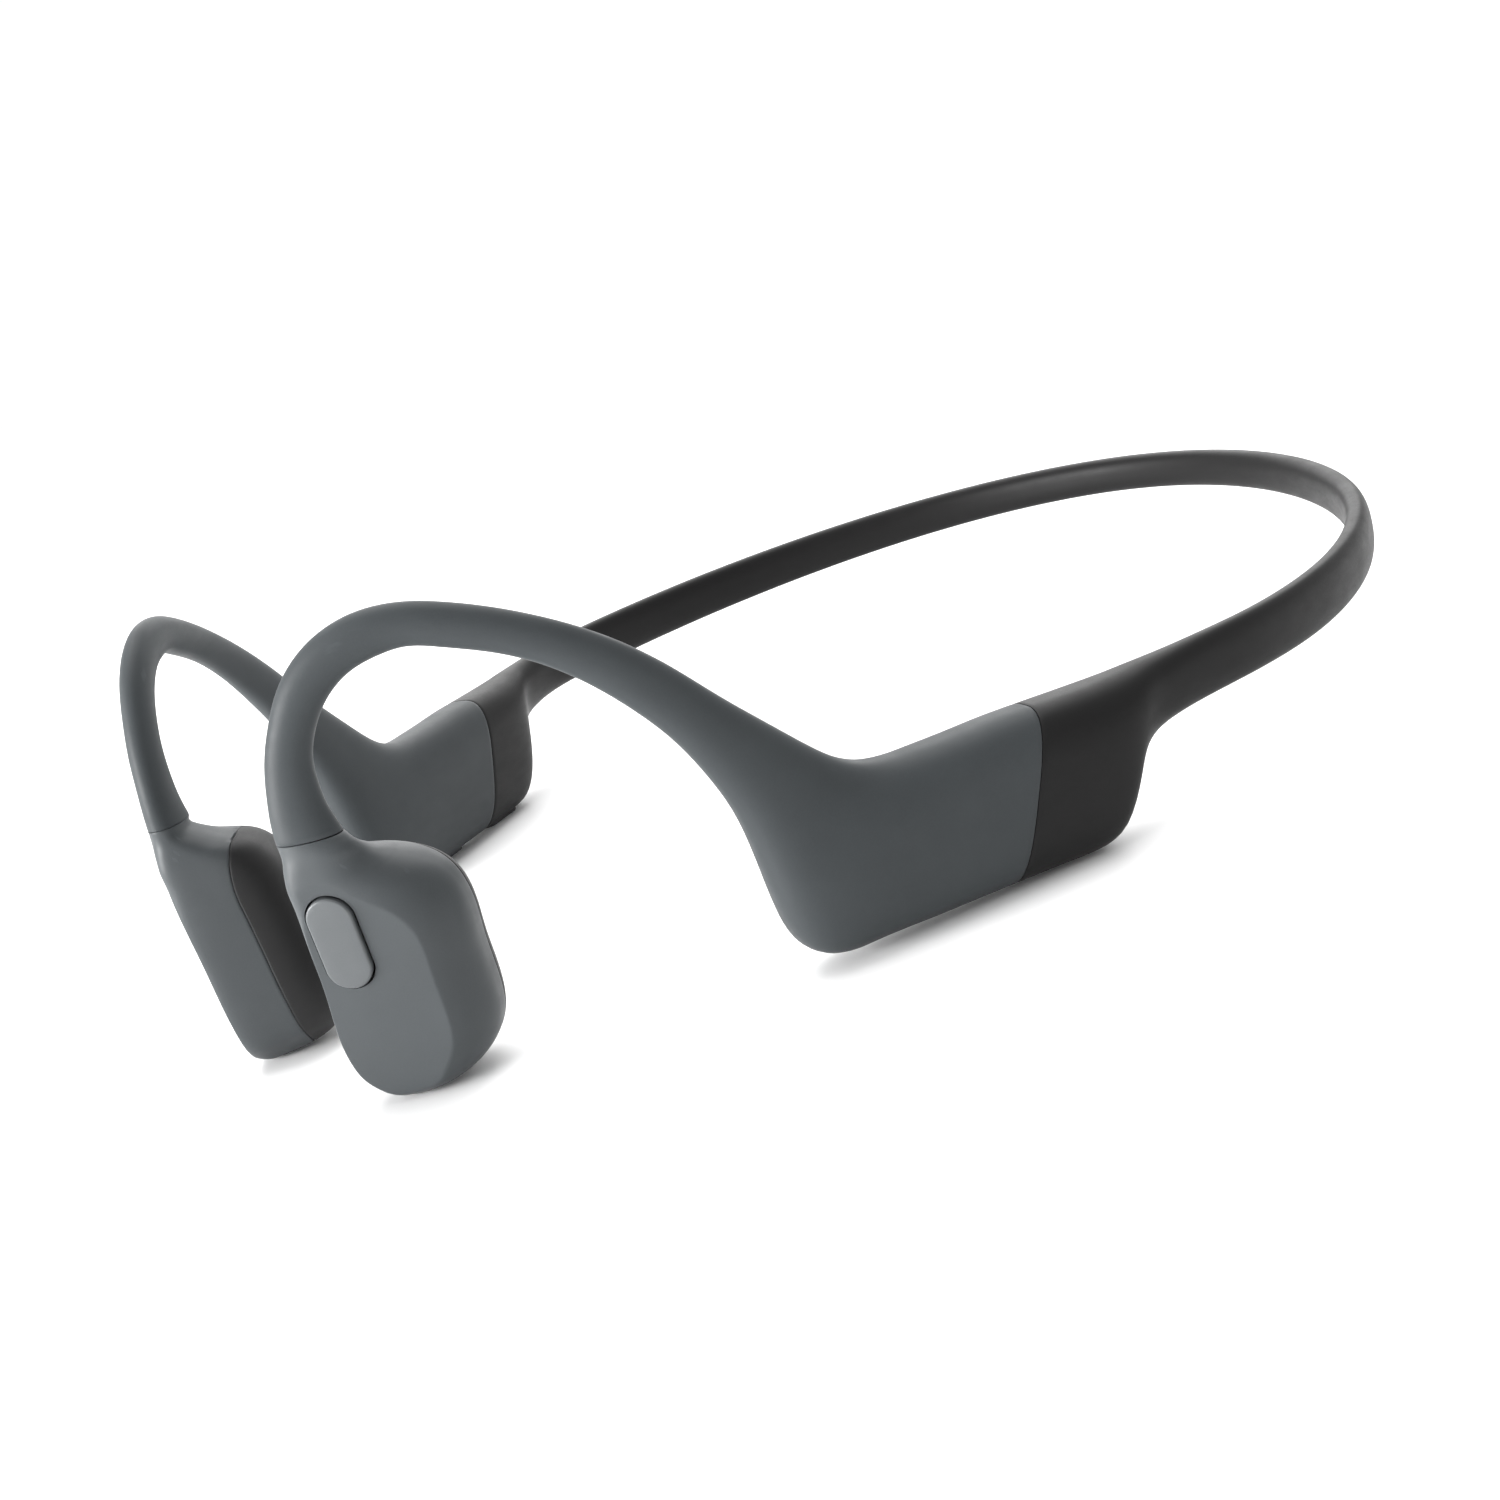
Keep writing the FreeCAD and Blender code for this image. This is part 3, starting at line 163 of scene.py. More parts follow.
# Slices of the arm: distance and height of the upper edge, the same of the lower edge,
# thickness, and how square the slice is (2 is an ellipse).
HOOK_STATIONS = [
    (-3.0, 26.5, 3.4, 26.3, 3.9, 2.1), (-2.9, 28.4, 2.8, 28.6, 3.6, 2.1),
    (-2.4, 31.2, 2.6, 30.8, 3.4, 2.1), (-1.6, 34.2, 2.8, 33.3, 3.3, 2.1),
    (-0.1, 37.6, 3.9, 36.0, 3.2, 2.1), (2.1, 41.0, 5.8, 38.5, 3.2, 2.1),
    (5.4, 43.8, 8.6, 40.4, 3.2, 2.1), (9.6, 45.4, 11.6, 41.2, 3.2, 2.1),
    (14.2, 45.5, 14.4, 41.3, 3.2, 2.1), (18.8, 44.3, 17.4, 40.4, 3.2, 2.1),
    (23.4, 42.4, 21.2, 38.9, 3.2, 2.1), (28.0, 39.9, 25.0, 36.8, 3.2, 2.1),
    (32.4, 36.8, 28.7, 33.8, 3.4, 2.1), (36.6, 32.9, 32.1, 30.1, 3.8, 2.2),
    (40.6, 28.4, 35.2, 25.8, 4.3, 2.2), (44.2, 24.6, 37.4, 21.4, 5.0, 2.3),
    (47.2, 21.5, 39.0, 16.8, 5.9, 2.4), (49.6, 19.3, 39.8, 11.8, 6.9, 2.5),
    (51.6, 18.1, 40.4, 6.8, 7.9, 2.6), (53.4, 17.5, 41.6, 2.8, 8.7, 2.7),
    (55.4, 17.2, 44.2, 0.8, 9.2, 2.8), (58.4, 17.1, 48.6, 0.5, 9.5, 2.9),
    (62.6, 17.1, 55.0, 0.5, 9.6, 3.0), (66.8, 17.2, 59.8, 0.5, 9.6, 3.0),
]
SEAM_STATION = (70.6, 17.15, 64.0, 0.5, 9.6, 3.0)
BAND_START_STATIONS = [
    (73.2, 17.1, 69.2, 0.5, 9.6, 3.0), (76.0, 17.05, 73.4, 0.5, 9.5, 3.0),
    (79.0, 17.05, 76.6, 1.5, 9.0, 2.9), (81.0, 17.1, 78.4, 4.1, 8.1, 2.8),
    (82.8, 17.2, 79.9, 7.0, 6.9, 2.7), (84.6, 17.3, 82.2, 9.2, 5.5, 2.6),
    (87.4, 17.4, 86.2, 10.5, 4.3, 2.6), (91.6, 17.55, 91.0, 11.0, 3.4, 2.6),
]

# The band behind the pod: its height and the height of its upper edge go from the side to the back.
BAND_FIRST_RUN, BAND_STEPS = 98.0, 9
BAND_SIDE_HEIGHT, BAND_BACK_HEIGHT, BAND_SIDE_TRIM = 6.6, 4.9, 0.2
BAND_SIDE_TOP, BAND_BACK_TOP = 17.6, 21.0
BAND_THICKNESS, BAND_SQUARE = 3.0, 2.6


def band_stations():
    """Even slices of the band from behind the pod to one slice past the middle of the back."""
    rows = []
    for step in range(BAND_STEPS + 2):
        part = step / BAND_STEPS
        mirrored_part = part if part <= 1 else 2 - part
        ease = eased(mirrored_part)
        trim = BAND_SIDE_TRIM * (1 - mirrored_part)
        height = BAND_SIDE_HEIGHT * (1 - ease) + BAND_BACK_HEIGHT * ease - trim
        top = BAND_SIDE_TOP * (1 - ease) + BAND_BACK_TOP * ease
        run = BAND_FIRST_RUN + (BACK_RUN - BAND_FIRST_RUN) * part
        rows.append((run, top, run, top - height, BAND_THICKNESS, BAND_SQUARE))
    return rows


def superellipse(angles, square):
    """Unit superellipse at even polar angles: forward and sideways parts."""
    c, s = np.cos(angles), np.sin(angles)
    reach = (np.abs(c) ** square + np.abs(s) ** square) ** (-1 / square)
    return reach * c, reach * s


def even_ring(points, count):
    """Closed ring resampled to even steps, from the same first point."""
    closed = np.vstack([points, points[:1]])
    length = travel(closed)[-1]
    return resample(closed, np.arange(count) * length / count)


# Even polar angles that every slice is first worked out at.
DENSE = np.linspace(0, 2 * math.pi, 720, endpoint=False)

# How far the outer face reaches behind the middle of a slice, and where along the pod it does.
END_SLANT = 0.7
SLANT_START, SLANT_FULL, SLANT_FADE, SLANT_END = 62.0, 78.0, 84.0, 91.0


def end_slant(run):
    """Reach of the outer face behind the middle of the slice at a distance along the arm."""
    rise = eased((run - SLANT_START) / (SLANT_FULL - SLANT_START))
    fall = eased((SLANT_END - run) / (SLANT_END - SLANT_FADE))
    return END_SLANT * rise * fall


def station_ring(station, count=None):
    """Closed ring of one slice of the arm."""
    run_top, top, run_low, low, thickness, square = station
    high, foot = on_arm(run_top, top), on_arm(run_low, low)
    run = (run_top + run_low) / 2
    out = outward(run)
    side = out * thickness / 2 + np.array([-out[1], out[0], 0.0]) * end_slant(run)
    forward, out = superellipse(DENSE, square)
    ring = (high + foot) / 2 + np.outer(forward, (high - foot) / 2) + np.outer(out, side)
    return ring if count is None else even_ring(ring, count)


def arm_rings(stations, first, last, spacing, count):
    """Rings from one station to another, from a smooth curve through every station."""
    middles = np.array([(on_arm(s[0], s[1]) + on_arm(s[2], s[3])) / 2 for s in stations])
    along = travel(middles)
    curve = Spline(along, stations)
    steps = max(2, int(round((along[last] - along[first]) / spacing)))
    rows = curve(np.linspace(along[first], along[last], steps + 1))
    return np.array([station_ring(row, count) for row in rows])


# ---------------------------------------------------------------- meshes

def grid_normals(rings):
    """Outward directions of a tube of closed rings."""
    along = np.gradient(rings, axis=0)
    around = np.roll(rings, -1, axis=1) - np.roll(rings, 1, axis=1)
    normal = np.cross(around, along)
    normal /= np.linalg.norm(normal, axis=2, keepdims=True) + 1e-12
    middle = rings.mean(axis=1, keepdims=True)
    if np.sum(normal * (rings - middle)) < 0:
        normal = -normal
    return normal


# Rounded end of a skin: how far each ring stands ahead of the seam, and how far inwards.
LIP_RINGS = ((0.0, 0.9), (0.0, 0.07), (0.02, 0.03), (0.06, 0.005))


def end_lip(rings, normals):
    """Rings that round off the first ring's edge and turn it inwards, to go before the rest."""
    ahead = rings[1].mean(axis=0) - rings[0].mean(axis=0)
    ahead /= np.linalg.norm(ahead)
    return np.array([rings[0] + ahead * (SEAM_GAP + forward) - normals[0] * inset
                     for forward, inset in LIP_RINGS])


def finished_tube(rings):
    """Tube whose ends are rounded off and turned in, in place of its first and last ring."""
    normals = grid_normals(rings)
    start = end_lip(rings, normals)
    end = end_lip(rings[::-1], normals[::-1])[::-1]
    return np.concatenate([start, rings[1:-1], end])


def tube_faces(rows, columns):
    """Quads of a tube of closed rings, and a face over each end."""
    faces = []
    for r in range(rows - 1):
        near, far = r * columns, (r + 1) * columns
        for c in range(columns):
            d = (c + 1) % columns
            faces.append((near + c, near + d, far + d, far + c))
    faces.append(tuple(range(columns)))
    faces.append(tuple((rows - 1) * columns + c for c in reversed(range(columns))))
    return faces


def make_object(name, points, faces, mirror=False, sharp=None, weld=0.0):
    """Mesh object from points of the drawing, with its faces turned outwards."""
    points = at_rest(np.array(points, float).reshape(-1, 3)) * MM
    if mirror:
        points = points * MIRROR
    mesh = bpy.data.meshes.new(name)
    mesh.from_pydata(points.tolist(), [], faces)
    work = bmesh.new()
    work.from_mesh(mesh)
    if weld:
        bmesh.ops.remove_doubles(work, verts=work.verts, dist=weld * MM)
    bmesh.ops.recalc_face_normals(work, faces=work.faces)
    work.to_mesh(mesh)
    work.free()
    mesh.shade_smooth()
    if sharp:
        mesh.set_sharp_from_angle(angle=math.radians(sharp))
    piece = bpy.data.objects.new(name, mesh)
    bpy.context.scene.collection.objects.link(piece)
    return piece


def carve(piece, cutters, sharp):
    """Cuts closed meshes out of a piece for good."""
    for cutter in cutters:
        cut = piece.modifiers.new("cut", "BOOLEAN")
        cut.operation = "DIFFERENCE"
        cut.solver = "EXACT"
        cut.object = cutter
    bpy.context.view_layer.update()
    graph = bpy.context.evaluated_depsgraph_get()
    mesh = bpy.data.meshes.new_from_object(piece.evaluated_get(graph))
    piece.modifiers.clear()
    piece.data = mesh
    mesh.shade_smooth()
    mesh.set_sharp_from_angle(angle=math.radians(sharp))
    for cutter in cutters:
        bpy.data.objects.remove(cutter)


def stadium(width, length, count=96):
    """Points of an upright slot with round ends, in its own plane."""
    radius = width / 2
    straight = length / 2 - radius
    points = []
    for c in range(count):
        turn = 2 * math.pi * c / count
        shift = straight if math.sin(turn) >= 0 else -straight
        points.append((radius * math.cos(turn), radius * math.sin(turn) + shift))
    return np.array(points)


def rounded_rectangle(width, length, corner, count=96):
    """Points of a rectangle with round corners, in its own plane."""
    points = []
    for c in range(count):
        turn = 2 * math.pi * (c + 0.5) / count
        side = math.copysign(width / 2 - corner, math.cos(turn))
        end = math.copysign(length / 2 - corner, math.sin(turn))
        points.append((side + corner * math.cos(turn), end + corner * math.sin(turn)))
    return np.array(points)


def at_height(outline, height):
    """A flat outline as a ring in a local frame."""
    return np.column_stack([outline, np.full(len(outline), height)])


def placed(points, origin, x_axis, y_axis, z_axis):
    """Points of a local frame, in the drawing."""
    points = np.asarray(points, float)
    return (np.asarray(origin, float) + points[..., 0:1] * x_axis + points[..., 1:2] * y_axis
            + points[..., 2:3] * z_axis)


# ---------------------------------------------------------------- transducer shape

# The transducer's frame: to the rear, up along the facet, and outwards from it.
SHELL_TURN, SHELL_LEAN = math.radians(53.0), math.radians(6.5)
FLAT = np.array([math.cos(SHELL_TURN), -math.sin(SHELL_TURN), 0.0])
SHELL_U = np.array([math.sin(SHELL_TURN), math.cos(SHELL_TURN), 0.0])
SHELL_N = FLAT * math.cos(SHELL_LEAN) - UP * math.sin(SHELL_LEAN)
SHELL_W = FLAT * math.sin(SHELL_LEAN) + UP * math.cos(SHELL_LEAN)
SHELL_ORIGIN = np.array([13.4, -77.0, 20.9])
SHELL_AXES = np.stack([SHELL_U, SHELL_W, SHELL_N])

# Slices: height, front, rear, inner and outer reach, and how far from the neck's ellipse.
SHELL_SLICES = [
    (4.0, -0.55, 6.7, -4.5, -0.3, 0.15), (3.1, -0.75, 7.1, -5.5, -0.2, 0.35),
    (2.2, -0.9, 7.8, -6.7, -0.1, 0.6), (1.0, -1.05, 9.5, -8.8, 0.06, 0.85),
    (-0.8, -1.05, 12.05, -10.4, 0.15, 1.0), (-4.0, -1.0, 13.8, -11.5, 0.8, 1.0),
    (-10.0, -1.1, 13.75, -11.9, 1.18, 1.0), (-15.0, -1.5, 13.6, -12.0, 1.25, 1.0),
    (-18.0, -1.3, 13.1, -11.7, 1.0, 1.0), (-20.2, -0.45, 11.8, -11.0, 0.55, 1.0),
    (-21.6, 1.0, 9.8, -9.6, 0.12, 1.0), (-22.6, 2.1, 7.0, -6.8, -1.1, 1.0),
]
SHELL_SPACING = 0.24

# How square a slice is at the neck and, further down, on its inner half and its outer corners.
NECK_SQUARE, INNER_SQUARE, FRONT_SQUARE, REAR_SQUARE = 2.1, 2.8, 6.0, 2.15

# How far a full slice's widest place lies ahead of its middle, as a share of its length.
FORWARD_SHARE = 0.12

# Sizes of the rings that close the foot, as shares of the last slice.
FOOT_SCALES = (0.93, 0.84, 0.72, 0.58, 0.42, 0.26, 0.1)

# Parting of the black pad: its depth below the facet, and how it bends inwards by height and to the rear.
PAD_DEPTH = -6.3
PAD_NECK_BEND, PAD_NECK_FROM, PAD_NECK_SPAN = 2.9, -5.0, 8.4
PAD_REAR_BEND, PAD_REAR_FROM, PAD_REAR_SPAN = 0.8, 4.0, 5.0

# Points along the grey part, the black part and the closing line inside each ring.
GREY_COLUMNS, BLACK_COLUMNS, CHORD_COLUMNS = 170, 110, 7

# Smoothing: how strong, how near the facet's edge, and how many rings and rounds at the foot.
SMOOTHING, FACET_NEAR, FACET_FAR = 0.8, 0.25, 0.6
FOOT_REACH, FOOT_ROUNDS = 7, 8

# Rounding of the edges along the parting: column and how far it is moved in, the step between
# the columns there, and the opening at which the rounding is whole.
EDGE_INSETS = ((0, 0.07), (1, 0.015), (-2, 0.015), (-1, 0.07))
EDGE_STEP, EDGE_OPENING = 0.1, 2.0


def to_shell(points):
    """Places of the drawing in the transducer's frame."""
    return (points - SHELL_ORIGIN) @ SHELL_AXES.T


def from_shell(points):
    """Places of the transducer's frame in the drawing."""
    return SHELL_ORIGIN + np.asarray(points, float) @ SHELL_AXES


def slice_ring(row):
    """One slice of the transducer in its own frame (to the rear, up, outwards)."""
    height, front, rear, inner, outer, change = row
    middle_u = front + (rear - front) * (0.5 - FORWARD_SHARE * change)
    middle_n = (inner + outer) / 2
    ahead, out = np.cos(DENSE) > 0, np.sin(DENSE) > 0
    square = np.where(out, np.where(ahead, FRONT_SQUARE, REAR_SQUARE), INNER_SQUARE)
    square = NECK_SQUARE + (square - NECK_SQUARE) * change
    forward, sideways = superellipse(DENSE, square)
    reach = np.where(ahead, middle_u - front, rear - middle_u)
    flat = np.column_stack([middle_u - reach * forward, middle_n + (outer - inner) / 2 * sideways])
    return np.insert(flat, 1, height, axis=1)


def shell_surface():
    """Dense closed rings of the whole transducer from the neck to a closed foot."""
    rings = np.array([to_shell(station_ring(HOOK_STATIONS[0]))] + [slice_ring(row) for row in SHELL_SLICES])
    along = travel(rings.mean(axis=1))
    curve = Spline(along, rings.reshape(len(rings), -1))
    places = np.linspace(0, along[-1], int(along[-1] / SHELL_SPACING))
    dense = curve(places).reshape(len(places), -1, 3)
    foot = dense[-1].mean(axis=0)
    cap = [foot + (dense[-1] - foot) * scale for scale in FOOT_SCALES]
    return np.concatenate([dense, cap])


def parting(w, u):
    """Where the black pad meets the grey shell, at a height and a distance to the rear."""
    neck = np.clip((w - PAD_NECK_FROM) / PAD_NECK_SPAN, 0, 2) ** 2
    rear = np.clip((u - PAD_REAR_FROM) / PAD_REAR_SPAN, 0, 1)
    return PAD_DEPTH - PAD_NECK_BEND * neck - PAD_REAR_BEND * rear


def arc_places(length, count):
    """Distances along an arc: close together at both ends for a rounded edge, even between."""
    ends = min(EDGE_STEP, length / 8)
    inner = np.linspace(2 * ends, length - 2 * ends, count - 4)
    return np.concatenate([[0, ends], inner, [length - ends, length]])


def parted(ring, shift):
    """A ring turned to start inside, and how far each point lies on the grey side of the parting."""
    loop = np.roll(ring, -(len(DENSE) * 3 // 4), axis=0)
    return loop, loop[:, 2] - parting(loop[:, 1], loop[:, 0]) - shift


def split_arcs(ring, shift, count, grey):
    """The grey or the black part of a ring, from the parting at one end to the other."""
    loop, value = parted(ring, shift)
    inside = np.flatnonzero(value >= 0)
    first, last = int(inside[0]), int(inside[-1])

    def crossing(a, b):
        va, vb = value[a % len(loop)], value[b % len(loop)]
        part = va / (va - vb)
        return loop[a % len(loop)] * (1 - part) + loop[b % len(loop)] * part

    front = crossing(first - 1, first)
    rear = crossing(last + 1, last)
    if grey:
        line = np.vstack([front, loop[first:last + 1], rear])
    else:
        line = np.vstack([rear, np.concatenate([loop[last + 1:], loop[:first]]), front])
    return resample(line, arc_places(travel(line)[-1], count))


def whole_arcs(ring, span):
    """A ring with no black part: its outer part over a span of points, and the points of the rest."""
    loop = parted(ring, 0)[0]
    line = loop[span[0]:span[1] + 1]
    rest = np.vstack([loop[span[1]:], loop[:span[0] + 1]])
    return (resample(line, arc_places(travel(line)[-1], GREY_COLUMNS)),
            resample(rest, np.linspace(0, travel(rest)[-1], CHORD_COLUMNS + 2))[1:-1])


def smooth_rows(grid, weight, passes):
    """Evens out a grid of points along and across, by a weight for each point."""
    for _ in range(passes):
        padded = np.concatenate([grid[:1], grid, grid[-1:]])
        sideways = np.concatenate([grid[:, :1], grid, grid[:, -1:]], axis=1)
        mean = (padded[:-2] + padded[2:] + sideways[:, :-2] + sideways[:, 2:]) / 4
        grid = grid + (mean - grid) * weight[..., None]
    return grid


def with_chord(arcs):
    """Closes each open arc with a straight line back to its start, through the inside."""
    share = np.linspace(0, 1, CHORD_COLUMNS + 2)[1:-1]
    chord = arcs[:, -1:] * (1 - share)[None, :, None] + arcs[:, :1] * share[None, :, None]
    return np.concatenate([arcs, chord], axis=1)


def eased_edges(arcs, opened):
    """Rounds the two long edges of a part a little, where they face the other part."""
    normal = np.cross(np.gradient(arcs, axis=1), np.gradient(arcs, axis=0))
    normal /= np.linalg.norm(normal, axis=2, keepdims=True) + 1e-9
    middle = arcs.mean(axis=1, keepdims=True)
    if np.sum(normal * (arcs - middle)) < 0:
        normal = -normal
    opening = np.clip(np.linalg.norm(arcs[:, 0] - arcs[:, -1], axis=1) / EDGE_OPENING, 0, 1) * opened
    out = arcs.copy()
    for column, inset in EDGE_INSETS:
        out[:, column] -= normal[:, column] * (inset * opening)[:, None]
    return out


def foot_weight(rows):
    """Smoothing of given rows of the transducer's surface, most where its foot begins."""
    first_foot_row = len(SHELL_SURFACE) - len(FOOT_SCALES) - 1
    return SMOOTHING * np.clip(1 - np.abs(rows - first_foot_row) / FOOT_REACH, 0, 1)[:, None]


def grey_grid():
    """Closed rings of the grey shell: open arcs with a chord where the pad is, whole rings above it."""
    values = np.array([parted(ring, SEAM_GAP)[1] for ring in SHELL_SURFACE])
    opened = values.min(axis=1) < 0
    opened_rows = np.flatnonzero(opened)
    grey, rests = [], []
    for row, ring in enumerate(SHELL_SURFACE):
        if opened[row]:
            grey.append(split_arcs(ring, SEAM_GAP, GREY_COLUMNS, True))
            rests.append(np.zeros((CHORD_COLUMNS, 3)))
        else:
            nearest = opened_rows[np.argmin(np.abs(opened_rows - row))]
            inside = np.flatnonzero(values[nearest] >= 0)
            arc, rest = whole_arcs(ring, (int(inside[0]), int(inside[-1])))
            grey.append(arc)
            rests.append(rest)
    grey = np.array(grey)
    raised = grey[..., 2].copy()
    grey[..., 2] = np.minimum(raised, 0.0)
    near_facet = np.clip((FACET_FAR - np.abs(raised)) / (FACET_FAR - FACET_NEAR), 0, 1)
    grey = smooth_rows(grey, near_facet * SMOOTHING, 1)
    grey = smooth_rows(grey, foot_weight(np.arange(len(grey))), FOOT_ROUNDS)
    grey = with_chord(eased_edges(grey, opened))
    grey[~opened, GREY_COLUMNS:] = np.array(rests)[~opened]
    return grey


def black_grid():
    """Closed rings of the black pad."""
    rows = np.array([row for row, ring in enumerate(SHELL_SURFACE) if parted(ring, -SEAM_GAP)[1].min() < 0])
    black = np.array([split_arcs(SHELL_SURFACE[row], -SEAM_GAP, BLACK_COLUMNS, False) for row in rows])
    black = smooth_rows(black, foot_weight(rows), FOOT_ROUNDS)
    return with_chord(eased_edges(black, np.ones(len(black))))


SHELL_SURFACE = shell_surface()

# ---------------------------------------------------------------- materials


def feed(tree, socket, value):
    """Links a socket to another one, or sets its value."""
    if isinstance(value, bpy.types.NodeSocket):
        tree.links.new(value, socket)
    else:
        socket.default_value = value


class Nodes:
    """Small helper that wires a material's nodes."""

    def __init__(self, name):
        self.material = bpy.data.materials.new(name)
        self.material.use_nodes = True
        self.tree = self.material.node_tree
        self.tree.nodes.clear()
        self.output = self.tree.nodes.new("ShaderNodeOutputMaterial")
        self.place = self.tree.nodes.new("ShaderNodeTexCoord").outputs["Object"]

    def add(self, kind, settings=None, **inputs):
        node = self.tree.nodes.new(kind)
        for key, value in (settings or {}).items():
            setattr(node, key, value)
        for key, value in inputs.items():
            feed(self.tree, node.inputs[key.replace("_", " ")], value)
        return node

    def noise(self, scale, detail=3.0, roughness=0.55, stretch=None):
        place = self.place
        if stretch:
            place = self.add("ShaderNodeMapping", Vector=place, Scale=stretch).outputs["Vector"]
        return self.add("ShaderNodeTexNoise", Vector=place, Scale=scale, Detail=detail,
                        Roughness=roughness).outputs["Fac"]

    def ramp(self, value, low, high, dark=0.0, light=1.0):
        return self.add("ShaderNodeMapRange", Value=value, From_Min=low, From_Max=high, To_Min=dark,
                        To_Max=light).outputs["Result"]

    def mix(self, share, first, second):
        node = self.add("ShaderNodeMix", {"data_type": "RGBA"})
        for place, value in ((0, share), (6, first), (7, second)):
            feed(self.tree, node.inputs[place], value)
        return node.outputs[2]

    def reckon(self, operation, first, second):
        node = self.add("ShaderNodeMath", {"operation": operation})
        for socket, value in zip(node.inputs, (first, second)):
            feed(self.tree, socket, value)
        return node.outputs[0]

    def bump(self, height, distance, strength=1.0, under=None):
        node = self.add("ShaderNodeBump", Height=height, Distance=distance, Strength=strength)
        if under is not None:
            self.tree.links.new(under, node.inputs["Normal"])
        return node.outputs["Normal"]

    def finish(self, **inputs):
        shader = self.add("ShaderNodeBsdfPrincipled", None, **inputs)
        self.tree.links.new(shader.outputs[0], self.output.inputs["Surface"])
        return self.material


def rgb(colour, times=1.0):
    """A colour made lighter or darker, with full opacity."""
    return tuple(min(1.0, c * times) for c in colour) + (1.0,)


EDGE_WEAR = 0.35


def moulded(name, colour, rough, grain, depth, specular=0.45, sheen=0.0):
    """Moulded silicone or plastic: fine eroded grain, soft clouding, paler rubbed edges.

    The grain's size is in millimetres and its depth in thousandths of a millimetre."""
    n = Nodes(name)
    clouds = n.noise(70.0, 4.0, 0.6)
    specks = n.noise(1000.0 / grain, 2.0, 0.6)
    cells = n.add("ShaderNodeTexVoronoi", {"feature": "F1"}, Vector=n.place,
                  Scale=1000.0 / (grain * 1.7)).outputs["Distance"]
    smears = n.noise(240.0, 5.0, 0.65, (1.0, 1.0, 2.6))
    tone = n.mix(n.ramp(clouds, 0.3, 0.7), rgb(colour, 0.93), rgb(colour, 1.07))
    tone = n.mix(n.ramp(specks, 0.35, 0.75, 0.0, 0.16), tone, rgb(colour, 1.45))
    point = n.add("ShaderNodeNewGeometry").outputs["Pointiness"]
    edge = n.reckon("MULTIPLY", n.ramp(point, 0.52, 0.60, 0.0, EDGE_WEAR), n.ramp(smears, 0.35, 0.65))
    tone = n.mix(edge, tone, rgb(colour, 1.9))
    gloss = n.reckon("ADD", n.ramp(smears, 0.3, 0.7, rough - 0.05, rough + 0.05),
                     n.ramp(specks, 0.3, 0.7, -0.03, 0.03))
    height = n.reckon("ADD", n.reckon("MULTIPLY", specks, 0.6), n.reckon("MULTIPLY", cells, 0.8))
    fine = n.bump(height, depth * 1e-6)
    soft = n.bump(n.noise(420.0, 3.0), 5e-6, 0.5, fine)
    return n.finish(Base_Color=tone, Roughness=gloss, Normal=soft, Specular_IOR_Level=specular,
                    Sheen_Weight=sheen, Sheen_Roughness=0.45)


def metal(name, colour, rough, stretch=(1.0, 1.0, 14.0), lines=900.0):
    """Drawn or turned metal: fine lines along one way and slightly uneven gloss."""
    n = Nodes(name)
    brushed = n.noise(lines, 4.0, 0.6, stretch)
    stain = n.noise(160.0, 4.0)
    tone = n.mix(n.ramp(stain, 0.35, 0.7), rgb(colour, 0.86), rgb(colour, 1.06))
    gloss = n.ramp(brushed, 0.3, 0.7, rough - 0.07, rough + 0.09)
    return n.finish(Base_Color=tone, Metallic=1.0, Roughness=gloss, Normal=n.bump(brushed, 3e-6))


def circuit_board(name):
    """Green solder mask over copper tracks."""
    n = Nodes(name)
    tracks = n.add("ShaderNodeTexBrick", {"offset": 0.35}, Vector=n.place, Scale=900.0, Mortar_Size=0.035,
                   Color1=rgb((0.010, 0.09, 0.035)), Color2=rgb((0.013, 0.11, 0.045)),
                   Mortar=rgb((0.05, 0.24, 0.09)))
    grime = n.noise(500.0, 4.0)
    tone = n.mix(n.ramp(grime, 0.4, 0.7, 0.0, 0.3), tracks.outputs["Color"], rgb((0.006, 0.05, 0.02)))
    return n.finish(Base_Color=tone, Roughness=n.ramp(grime, 0.3, 0.7, 0.3, 0.42),
                    Normal=n.bump(tracks.outputs["Fac"], 1.5e-5), Coat_Weight=0.3)


def wound_copper(name):
    """Fine turns of enamelled wire."""
    n = Nodes(name)
    turns = n.add("ShaderNodeTexWave", {"wave_type": "BANDS", "bands_direction": "Z"}, Vector=n.place,
                  Scale=2600.0, Distortion=0.6, Detail=1.0).outputs["Fac"]
    tone = n.mix(turns, rgb((0.32, 0.10, 0.03)), rgb((0.80, 0.36, 0.17)))
    return n.finish(Base_Color=tone, Metallic=0.9, Roughness=0.32, Normal=n.bump(turns, 2e-5))


def glassy(name):
    """Pale, slightly hazy light guide."""
    n = Nodes(name)
    haze = n.noise(900.0, 3.0)
    tone = n.mix(n.ramp(haze, 0.3, 0.7), rgb((0.62, 0.64, 0.66)), rgb((0.85, 0.86, 0.88)))
    return n.finish(Base_Color=tone, Roughness=n.ramp(haze, 0.3, 0.7, 0.1, 0.2), Coat_Weight=0.5,
                    Normal=n.bump(haze, 1e-6))


